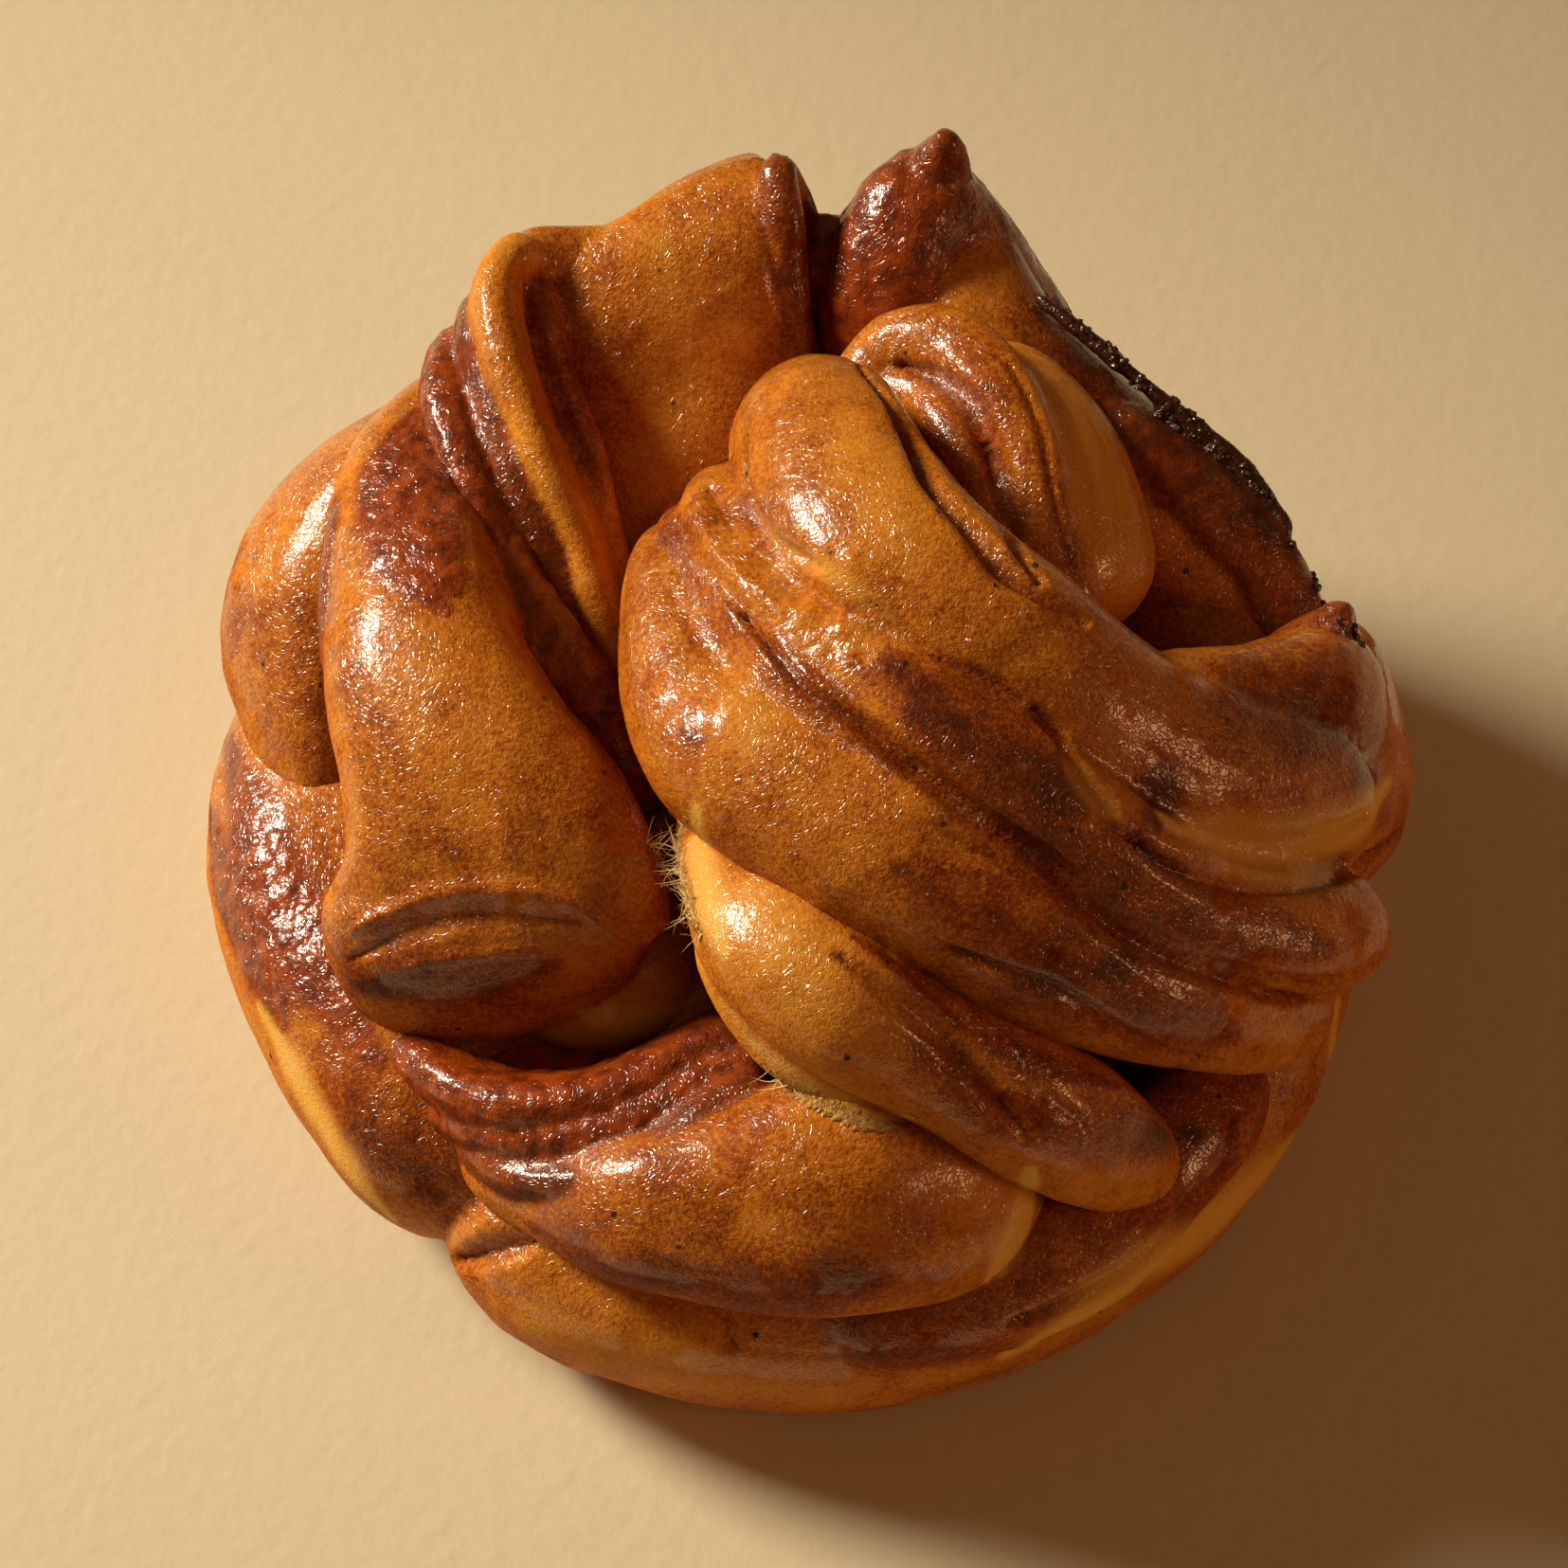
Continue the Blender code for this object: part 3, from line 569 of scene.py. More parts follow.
# %% [markdown]
# The small creases could be left to noise, but they would come in the wrong places, and a sculpted
# mesh is hard to change later. So they are drawn first, then pressed. Each line is drawn on a sheet
# held square to the camera, through the middle of the bun, in millimetres to the right and up. The
# line is cast along the line of sight onto the dough, as a ruler's edge would be pressed into it.
# Every kind of line has its own depth and width, and what it does to the colour. Bands are broad
# lines: they mostly colour the dough, so their depth doesn't grow with their width. Many of the
# brown bands are painted shade.

# %% Kinds of drawn lines and bands
# A press is in mm, and under 0 it goes in. The width is in mm. The rest are shares.
KINDS = {
    # The grooves and cracks darken the colour along them, partly as browning and partly as painted
    # shade.
    "crack": {"width": 0.8, "press": -0.7, "brown": 0.3},
    "deep groove": {"width": 2.0, "press": -1.7, "brown": 0.15},
    "groove": {"width": 1.6, "press": -1.0, "brown": 0.12},
    "soft groove": {"width": 2.4, "press": -0.7, "brown": 0.04},
    "fine groove": {"width": 0.9, "press": -0.25, "brown": 0.08},
    "ridge": {"width": 1.7, "press": 0.5, "brown": 0.04},
    "sharp ridge": {"width": 1.2, "press": 0.5},
    "fine ridge": {"width": 0.9, "press": 0.25, "pale": 0.1},
    "stretch": {"width": 1.9, "press": -0.2, "brown": -0.1, "pale": 0.5},
    "syrup": {"press": -0.1, "filling": 1.1, "brown": 0.2, "knobs": 0.25},
    # A brown band darkens the colour; most of those in the drawing are painted shade.
    "brown": {"brown": 0.35},
    "gold": {"brown": -0.22},
    "knobs": {"brown": -0.05, "knobs": 1.2},
    "pale": {"pale": 0.9, "brown": -0.1},
    "glaze": {"glaze": 1.0},
    "tear": {"press": 0.1, "crumb": 1.0},
    "threads": {"threads": 1.0},
    "burnt edge": {"burnt": 1.0, "brown": 0.5, "filling": 0.5, "knobs": 0.6},
}
EFFECTS = ("press", "filling", "crumb", "brown", "pale", "knobs", "glaze", "threads", "burnt")
DRAWN = tuple("drawn_" + effect for effect in EFFECTS)

# %% [markdown]
# The drawing itself, kind by kind. A line starts with its strength and a band with half its width
# in millimetres. The rest are its stations.

# %% The drawing
LINES = {
    "fine groove": (
        (1.4, (-10, 22.5), (-8.5, 21.5), (-7, 19), (-4.5, 16), (-2, 14)),
        (1, (-11, 18.5), (-9, 15), (-6.5, 11), (-3, 7)),
        (1, (14, -4.5), (19, -7), (23, -10), (27, -13)),
        (1, (17.5, -11), (22, -14), (27, -16.5)),
        (0.6, (21.5, 35.5), (24.5, 31.5), (26, 26.5), (26.5, 21.5), (26, 17)),
        (0.5, (24, 34), (27, 30), (28.5, 25), (28.5, 19.5)),
        (0.5, (22.5, 32.5), (24.5, 28.5), (25, 23.5), (25, 18.5)),
        (1.2, (-22.5, 46), (-22, 41.5), (-20.5, 36.5), (-18.5, 31.5), (-16.5, 26), (-15, 19.5)),
        (1, (-2, 52), (-1.5, 47), (-0.5, 41.5), (1, 38)),
        (0.5, (0, -34), (2, -32), (3.5, -30.5)),
        (0.5, (-21.5, -35.5), (-15, -38.5), (-8.5, -41.5), (-2, -42.5)),
        (1, (8.5, -14), (13, -18), (18, -23), (23, -28)),
        (1, (16.5, -20.5), (21.5, -25.5), (26, -29.5)),
        (0.9, (17.5, -42.5), (17, -45), (17.5, -47.5)),
        (0.9, (20.5, -41.5), (20, -43.5), (20.5, -46)),
        (0.6, (-10.5, -46.5), (-3, -48.5), (4.5, -49), (11, -48.5)),
        (0.6, (-28.5, -42), (-21.5, -44.5), (-15, -46.5)),
    ),
    "deep groove": (
        (0.9, (-3.5, 14.5), (-1, 11.5), (2, 8), (6, 5.5), (9, 3), (13, 0), (17.5, -3.5), (22, -6.5),
         (27, -11), (32.5, -14.5), (38.5, -17), (43.5, -18.5), (48, -18)),
        (1, (30, -4.5), (32.5, -6.5), (36, -8), (41, -8.5), (45.5, -8), (50, -6.5), (53, -4)),
        (1, (6.5, 36), (8.5, 33.5), (11, 30), (13, 26), (16, 22.5), (19, 18.5), (22.5, 16),
         (26, 14)),
        (1, (-32.5, -40.5), (-29, -41), (-25, -40), (-21.5, -39), (-19.5, -37.5)),
    ),
    "ridge": (
        (1, (-6.5, 17.5), (-3.5, 13.5), (0, 10), (4.5, 6), (8.5, 2), (13, -2), (18, -5), (23, -8.5),
         (27.5, -12)),
        (1, (-37, -12.5), (-34, -11), (-30, -9.5), (-24, -9), (-18.5, -10), (-14.5, -13)),
        (0.5, (-36.5, -17), (-31.5, -15.5), (-26, -14.5), (-19.5, -14), (-14.5, -15)),
    ),
    "sharp ridge": (
        (0.7, (-8.5, 24), (-7, 22), (-5, 19), (-2, 16.5), (0, 14)),
    ),
    "soft groove": (
        (1.2, (-6.5, 25.5), (-4.5, 22.5), (-2, 19.5), (1, 17.5), (4.5, 15)),
        (1, (33, -4), (37, -5), (41.5, -5.5), (46.5, -4.5), (50, -2.5)),
        (0.8, (-37, -15), (-33, -13), (-28.5, -11.5), (-22.5, -11.5), (-17.5, -12)),
    ),
    "groove": (
        (1, (-3.5, 27.5), (-3.5, 25.5), (-2.5, 22.5), (-0.5, 20.5), (3, 18.5)),
        (0.5, (7, 16), (9.5, 14), (13, 11), (17.5, 9), (21.5, 6.5)),
        (0.9, (21.5, 6.5), (24, 3.5), (26, 0), (28.5, -3.5), (31, -5.5)),
        (0.8, (14, -14), (19, -16), (24, -18), (28.5, -21), (32.5, -23), (37.5, -24)),
        (0.8, (34.5, -14.5), (39, -16), (44, -17), (47.5, -16.5)),
        (1.2, (10, 36), (13, 35), (16, 32.5), (17.5, 29), (18.5, 25), (20, 20.5), (22, 17.5)),
        (0.5, (17.5, 37.5), (20, 35), (22, 30.5), (23, 26), (24, 21), (25.5, 17)),
        (1, (4.5, -14.5), (8.5, -17.5), (13, -21), (17, -25.5), (21, -30.5)),
        (1.1, (38.5, -28.5), (38, -33), (34.5, -37), (30, -41.5), (24.5, -44.5), (19, -46.5)),
        (0.6, (-4.5, -44), (-5, -46), (-4.5, -48.5)),
    ),
    "stretch": (
        (0.8, (-3.5, 25.5), (-2, 22.5), (0, 20.5), (3.5, 18.5), (6.5, 16.5), (9.5, 14)),
        (1.3, (24.5, 2.5), (26.5, -0.5), (28.5, -2.5)),
    ),
    "fine ridge": (
        (1, (15, -6.5), (19.5, -8.5), (24, -11.5), (28.5, -15), (34.5, -19), (40, -21)),
    ),
    "crack": (
        (0.8, (8.5, 33.5), (11, 30), (13, 26)),
        (0.8, (30.5, -4.5), (32.5, -6.5), (35, -7.5)),
    ),
}
BANDS = {
    "glaze": (
        (6, (-35, 15), (-33.5, 10.5), (-31.5, 4)),
        (5, (-36, -4.5), (-35, -9), (-31.5, -11)),
        (3, (-35, -13), (-31.5, -13), (-28.5, -12)),
        (3, (-47.5, 17), (-47.5, 12), (-46.5, 6.5)),
        (5, (0.5, 32.5), (2, 27.5), (4.5, 23.5)),
        (4, (-10.5, 18.5), (-9, 13.5), (-6.5, 8)),
        (4, (-5.5, 25), (-4, 21.5), (0, 17)),
        (3, (8.5, 39), (12.5, 35.5), (15, 31.5)),
        (4, (18, 2), (24.5, -4.5), (31, -10), (37.5, -13)),
        (4, (32.5, 4), (38.5, 2), (44, 3)),
        (4, (21.5, 12), (26, 8), (28.5, 4)),
        (4, (11, -17.5), (15.5, -20.5), (21.5, -26)),
    ),
    "gold": (
        (5, (24.5, 33), (27.5, 26.5), (27, 20)),
        (3, (19, 39), (22, 33), (24, 26.5)),
        (5, (6, 31.5), (8.5, 25), (11, 18.5)),
        (4, (24, 31.5), (26, 26.5), (27.5, 21.5)),
        (6, (-10.5, 46), (-8.5, 38), (-11, 28.5), (-13.5, 21.5)),
        (4, (27.5, 20), (30, 16.5)),
        (6, (-21.5, -46.5), (-12, -50), (-2, -51.5), (8.5, -52), (17.5, -50)),
        (7, (-3, -9), (0, -14), (4.5, -19)),
        (5, (-5.5, 10.5), (-3, 3)),
    ),
    "brown": (
        # Painted shade: the wide bands over the front strap's face, the back fold, the knot's lower
        # right, the right strap and under the left strap's end darken sides that the key light
        # misses.
        (7, (-21.5, -38.5), (-13.5, -42), (-2, -44), (8.5, -42.5)),
        (2.6, (5, 11), (10, 8.5), (15.5, 5)),
        (7, (19, 48), (23, 41.5), (29.5, 34), (36, 28.5), (41.5, 21.5)),
        (7, (-39.5, -23), (-35.5, -29.5), (-30.5, -35)),
        (5, (9, 11), (14, 8), (20.5, 3), (25.5, -2)),
        (8, (10, -7.5), (18, -12.5), (26, -17.5), (38.5, -21.5)),
        (6, (11, 5.5), (20.5, -2), (32, -10), (46.5, -14)),
        (8, (37.5, 7), (46.5, 5.5), (50.5, 0.5)),
        (6, (21, 47), (24.5, 40.5), (31, 32.5), (37.5, 26.5), (43.5, 20)),
        (4, (-36.5, -17.5), (-31.5, -17.5), (-25, -17), (-19.5, -15.5)),
        (1.2, (-8.5, 4.5), (-7, 3.5)),
        (4.2, (32.5, 1.5), (33, -0.5), (32, -3)),
        (3, (32, 0), (32, -1.5)),
        (2.2, (31.5, -3), (30.5, -4)),
        (2.2, (27.5, -16), (30, -15)),
        (4, (19, -27), (24, -29.5), (29.5, -30.5), (35, -30)),
        (3.6, (11, -21.5), (15.5, -26), (19, -30.5)),
    ),
    "syrup": (
        (5, (-48, 5), (-47, 0.5), (-45, -5), (-42.5, -11), (-39.5, -17.5), (-35, -23.5)),
        (4.5, (-50, 2), (-49, -4.5), (-47.5, -10), (-45, -15.5), (-43, -20.5)),
        (3.6, (-31.5, 32), (-34, 28.5), (-35, 24.5), (-34, 21), (-32, 18), (-29, 15)),
        (5, (-30.5, 30.5), (-30.5, 26), (-30.5, 21.5), (-28.5, 17)),
        (2.2, (6, -13), (11, -16.5), (16.5, -20.5), (22, -24), (28.5, -26)),
    ),
    "pale": (
        (2.6, (-17.5, -19.5), (-13.5, -20.5), (-9.5, -19.5)),
        (4.6, (32.5, -3), (36.5, -5), (41.5, -5.5), (47.5, -4.5), (52, 0)),
        (3.2, (-45, -19), (-41.5, -26), (-37.5, -32.5), (-33.5, -37.5)),
        (5, (47.5, -19), (46.5, -25.5), (42.5, -32), (37, -37.5), (31.5, -41.5), (26, -45.5),
         (19, -49)),
        (2.6, (17.5, -42.5), (20, -38), (21, -33)),
        (1.8, (18.5, -42), (20.5, -37.5), (21.5, -33)),
        (3, (-7.5, -2), (-7.5, -6), (-6.5, -10), (-5, -14.5)),
        (2, (-3, -22), (0, -24.5), (3.5, -26.5), (7, -28), (11, -28.5)),
    ),
    "knobs": (
        (3, (-4.5, 18.5), (-2, 16), (2, 13), (6, 11), (9.5, 9)),
        (2.2, (2, 16), (5, 14), (8.5, 12)),
        (1.6, (5.5, 19.5), (8, 18)),
    ),
    "tear": (
        (1.3, (-8.5, -3), (-9, -6), (-8.5, -9), (-7, -13)),
        (1.1, (-2.5, -23.5), (0, -25.5), (3.5, -27.5), (7, -29), (10, -29.5)),
    ),
    "threads": (
        (1, (-8.5, -3), (-9, -6), (-8.5, -9), (-7, -13)),
        (1.3, (-12, -4.5), (-10.5, -6.5), (-9.5, -8.5)),
        (0.8, (-2, -23.5), (0, -26), (3.5, -28), (7.5, -29.5), (10.5, -30)),
    ),
    "burnt edge": (
        (1.5, (23.5, 41.5), (26, 39), (29, 36), (32, 33.5), (34.5, 31), (37, 28.5), (40, 26),
         (42.5, 24)),
        (1.3, (43.5, 21.5), (45, 19), (46, 15.5)),
        (1.2, (47, 13), (48.5, 13.5), (49.5, 12)),
    ),
}

# %% [markdown]
# A line keeps only the stations that land on the piece it mostly lies on, so that it leaves no
# crater on a piece behind. Both its ends grow narrow, as a fingernail's mark does.

# %% Casting the drawing onto the dough
CAST_GAP = 0.35
END_WIDTH = 0.25
TAPER_SHARE = 0.3
LOOK_RIGHT = Vector((1, 0, 0))
LOOK_UP = Vector((0, math.sin(CAMERA_ELEVATION), math.cos(CAMERA_ELEVATION)))


def cast(across, up):
    aim = LOOK_AT + (LOOK_RIGHT * across + LOOK_UP * up) * MM
    direction = (aim - camera.location).normalized()
    best = (math.inf, None, None)
    for name, piece in pieces.items():
        hit, place, _, _ = piece.ray_cast(camera.location, direction)
        if hit:
            best = min(best, ((place - camera.location).length, name, place))
    return best


def cast_line(stations, on_one_piece):
    rows = np.array([(across, up, 0) for across, up in stations], float)
    found = [cast(across, up) for across, up, _ in smooth_rows(rows, CAST_GAP)[0].tolist()]
    found = [(name, np.array(place) / MM) for _, name, place in found if name]
    names = [name for name, _ in found]
    most = max(names, key=names.count, default=None)
    return np.array([place for name, place in found if name == most or not on_one_piece])


def tapers(count):
    to_end = np.minimum(np.arange(count), np.arange(count)[::-1]) + 1
    return np.minimum(1, END_WIDTH + (1 - END_WIDTH) * to_end / (TAPER_SHARE * count))


def near_points(places, points, reach):
    low = points.min(0) - reach
    high = points.max(0) + reach
    close = np.flatnonzero(((places > low) & (places < high)).all(1))
    share = np.full(len(close), np.inf)
    for point, taper in zip(points, tapers(len(points)), strict=True):
        gap = ((places[close] - point) ** 2).sum(1)
        share = np.minimum(share, gap / (reach * taper) ** 2)
    inside = share < 1
    return close[inside], np.sqrt(share[inside])


def all_strokes():
    for drawing, on_one_piece in ((LINES, True), (BANDS, False)):
        for kind, strokes in drawing.items():
            for size, *stations in strokes:
                depth = size if on_one_piece else 1
                yield kind, size, depth, cast_line(stations, on_one_piece)


def draw_on_pieces():
    bpy.context.view_layer.update()
    places = {}
    amounts = {}
    for name, piece in pieces.items():
        flat = np.empty(len(piece.data.vertices) * 3, np.float32)
        piece.data.vertices.foreach_get("co", flat)
        places[name] = flat.reshape(-1, 3).astype(float) / MM
        amounts[name] = np.zeros((len(DRAWN), len(places[name])))
    for kind, size, depth, points in all_strokes():
        if not len(points):
            print("A stroke missed the dough:", kind)
            continue
        reach = KINDS[kind].get("width", 1) * size
        for name in pieces:
            close, share = near_points(places[name], points, reach)
            sharp = (1 - share) ** 2 * (1 + share)
            soft = (1 - share**2) ** 2
            for row, effect in enumerate(EFFECTS):
                fade = depth * sharp if effect == "press" else soft
                amounts[name][row, close] += KINDS[kind].get(effect, 0) * fade
    for name, piece in pieces.items():
        for row, key in enumerate(DRAWN):
            layer = piece.data.attributes.new(key, "FLOAT", "POINT")
            layer.data.foreach_set("value", amounts[name][row].astype(np.float32))


draw_on_pieces()
print("Drawn:", sum(map(len, LINES.values())), "lines,", sum(map(len, BANDS.values())), "bands")

# %% [markdown]
# A node tree is a long sum, so here it's written as one. A wire stands for the output of a node,
# and adding or multiplying wires adds the Math or Vector Math node that works it out. Inputs are
# plain values or wires.

# %% Wires, and helpers for node trees
class Wire:
    def __init__(self, socket):
        self.socket = socket
        self.tree = socket.id_data
        self.is_vector = socket.type in ("VECTOR", "RGBA")

    def __add__(self, other):
        return worked_out("ADD", self, other)

    __radd__ = __add__

    def __sub__(self, other):
        return worked_out("SUBTRACT", self, other)

    def __rsub__(self, other):
        return worked_out("SUBTRACT", other, self)

    def __mul__(self, other):
        return scaled(self, other) if self.is_vector else worked_out("MULTIPLY", self, other)

    def __truediv__(self, other):
        return worked_out("DIVIDE", self, other)

    def __rtruediv__(self, other):
        return worked_out("DIVIDE", other, self)


def feed(socket, value):
    if isinstance(value, Wire):
        value.tree.links.new(value.socket, socket)
    else:
        socket.default_value = value


def add(tree, kind, feeds=None, **settings):
    made = tree.nodes.new(kind)
    for name, value in settings.items():
        setattr(made, name, value)
    for key, value in (feeds or {}).items():
        feed(made.inputs[key], value)
    return made


def wire(tree, kind, feeds=None, out=0, **settings):
    return Wire(add(tree, kind, feeds, **settings).outputs[out])


def worked_out(operation, *values):
    wires = [value for value in values if isinstance(value, Wire)]
    is_vector = any(value.is_vector for value in wires)
    kind = "ShaderNodeVectorMath" if is_vector else "ShaderNodeMath"
    out = "Value" if operation == "DOT_PRODUCT" else 0
    return wire(wires[0].tree, kind, dict(enumerate(values)), out, operation=operation)


def scaled(vector, scale):
    tree = vector.tree if isinstance(vector, Wire) else scale.tree
    feeds = {0: vector, "Scale": scale}
    return wire(tree, "ShaderNodeVectorMath", feeds, operation="SCALE")


def dot(a, b):
    return worked_out("DOT_PRODUCT", a, b)


def largest(a, b):
    return worked_out("MAXIMUM", a, b)


def combined(tree, x=0.0, y=0.0, z=0.0):
    return wire(tree, "ShaderNodeCombineXYZ", {"X": x, "Y": y, "Z": z})


def between(value, low, high, to_low=0.0, to_high=1.0):
    feeds = {"Value": value, "From Min": low, "From Max": high, "To Min": to_low, "To Max": to_high}
    return wire(value.tree, "ShaderNodeMapRange", feeds, interpolation_type="SMOOTHSTEP")


def noise(vector, scale, detail=2.0, rough=0.5):
    feeds = {"Vector": vector, "Scale": scale, "Detail": detail, "Roughness": rough}
    return wire(vector.tree, "ShaderNodeTexNoise", feeds)


def cells(vector, scale, out="Distance", **settings):
    feeds = {"Vector": vector, "Scale": scale}
    return wire(vector.tree, "ShaderNodeTexVoronoi", feeds, out, **settings)


# %% Helpers for Geometry Nodes
def new_tree(name, sockets):
    tree = bpy.data.node_groups.new(name, "GeometryNodeTree")
    for key, kind, value in sockets:
        socket = tree.interface.new_socket(key, in_out="INPUT", socket_type="NodeSocket" + kind)
        if value is not None:
            socket.default_value = value
    tree.interface.new_socket("Made", in_out="OUTPUT", socket_type="NodeSocketGeometry")
    given = {out.name: Wire(out) for out in tree.nodes.new("NodeGroupInput").outputs if out.name}
    return tree, given


def mesh_of(thing):
    feeds = {"Object": thing}
    return wire(thing.tree, "GeometryNodeObjectInfo", feeds, "Geometry")


def attribute(tree, name):
    feeds = {"Name": name}
    return wire(tree, "GeometryNodeInputNamedAttribute", feeds, "Attribute", data_type="FLOAT")


def stored(mesh, name, value):
    feeds = {"Geometry": mesh, "Name": name, "Value": value}
    settings = {"data_type": "FLOAT", "domain": "POINT"}
    return wire(mesh.tree, "GeometryNodeStoreNamedAttribute", feeds, **settings)


def blurred(value, rounds, data_type="FLOAT"):
    feeds = {"Value": value, "Iterations": rounds}
    return wire(value.tree, "GeometryNodeBlurAttribute", feeds, "Value", data_type=data_type)


def finish_tree(mesh, material):
    tree = mesh.tree
    mesh = wire(tree, "GeometryNodeRealizeInstances", {"Geometry": mesh})
    mesh = wire(tree, "GeometryNodeSetMaterial", {"Geometry": mesh, "Material": material})
    feed(tree.nodes.new("NodeGroupOutput").inputs["Made"], mesh)
    return tree


def run_tree(thing, tree, values):
    modifier = thing.modifiers.new(tree.name, "NODES")
    modifier.node_group = tree
    for item in tree.interface.items_tree:
        if item.in_out == "INPUT" and item.name in values:
            modifier[item.identifier] = values[item.name]
    made_real(thing)


# %% [markdown]
# One tree gives every piece its baked surface. A bump in the material could fake the unevenness,
# but not on the outline, so here the skin itself moves. The tree takes the finishes from the
# nearest strand, then measures the skin: how hollow or how ridged it is, from a blurred copy of its
# own places, and how open it is to the air, from rays shot at the whole bun. Sheltered skin is
# browned more, as painted shade. Last it moves the skin: broad lumps, a finer unevenness, stretch
# lines that run along the strands, and bumps of sugar on the filling.

# %% Inputs and patterns of the baked surface
RAYS = 14
RAY_LENGTH = 12.0
RAY_START = 0.0008
HOLLOW_ROUNDS = 16
OPEN_ROUNDS = 4
FINISH_ROUNDS = 3
WAVE_HEIGHT = 2.5
STRETCH_LENGTH = 14.0
FOLD_WAVES = (1.0, 3.0, 0.6)
SUGAR_LEVEL = 0.45
SURFACE_INPUTS = (
    ("Skin", "Geometry", None),
    ("Strands", "Object", None),
    ("Whole bun", "Object", None),
    ("Lump height", "Float", 0.45),
    ("Lump size", "Float", 11.0),
    ("Dimple height", "Float", 0.10),
    ("Dimple size", "Float", 3.2),
    ("Stretch height", "Float", 0.12),
    ("Stretch width", "Float", 1.5),
    ("Sugar height", "Float", 0.5),
    ("Sugar size", "Float", 2.3),
    ("Seed", "Float", 0.0),
    ("Crust", "Material", None),
)
# Each pattern is a noise: its waves to a millimetre, its detail and its roughness.
PATTERNS = {
    "tight": (0.09, 1.0, 0.5),
    "ragged": (0.6, 4.0, 0.65),
    "patchy": (0.3, 2.0, 0.5),
    "cloud": (0.07, 3.0, 0.5),
    "patch": (0.28, 4.0, 0.6),
    "mottle": (0.7, 2.0, 0.65),
    "blots": (0.6, 3.0, 0.75),
    "glaze": (0.12, 6.0, 0.65),
}
# The browning starts at a half-baked gold, and each of these adds its share.
BAKE_START = 0.43
CLOUD_BROWN = 0.6
PATCH_BROWN = 0.5
FINISH_BROWN = 0.8
# Painted shade: sheltered skin is darkened by this share.
SHELTERED_PAINTED_SHADE = 0.16
MOTTLE_BROWN = 0.32
RAGGED_FILLING = 0.9
RAGGED_TEAR = 1.2
# Where a pattern starts to show, and where it shows in full.
TIGHT_BORDER = (0.42, 0.62)
PATCHY_BORDER = (0.35, 0.6)
SYRUP_BORDER = (0.15, 0.85)
TORN_BORDER = (0.35, 0.6)
BLOTS_BORDER = (0.36, 0.62)
GLAZE_BORDER = (0.36, 0.54)
BRUSHED_BORDER = (0.1, 0.6)
WET_LEAST = 0.4


def even_directions(count):
    golden = math.pi * (3 - math.sqrt(5))
    found = []
    for k in range(count):
        z = 1 - (2 * k + 1) / count
        r = math.sqrt(1 - z * z)
        found.append((r * math.cos(golden * k), r * math.sin(golden * k), z))
    return found


# %% [markdown]
# Rays over the half-sphere tell how sheltered a point is, and sheltered skin is browned more, as
# painted shade. Each counts with the weight of its cosine, and a near hit counts more than a far
# one.

# %% How open the skin is
def openness(whole, place, normal):
    start = place + normal * RAY_START
    shade = None
    weight = None
    for direction in even_directions(RAYS):
        facing = dot(normal, direction)
        feeds = {
            "Target Geometry": whole,
            "Source Position": start,
            "Ray Direction": scaled(direction, worked_out("SIGN", facing)),
            "Ray Length": RAY_LENGTH * MM,
        }
        ray = add(place.tree, "GeometryNodeRaycast", feeds).outputs
        near = Wire(ray["Hit Distance"]) / (RAY_LENGTH * MM)
        share = worked_out("ABSOLUTE", facing)
        part = Wire(ray["Is Hit"]) * (1.0 - near) * share
        shade = part if shade is None else shade + part
        weight = share if weight is None else weight + share
    return 1.0 - shade / weight


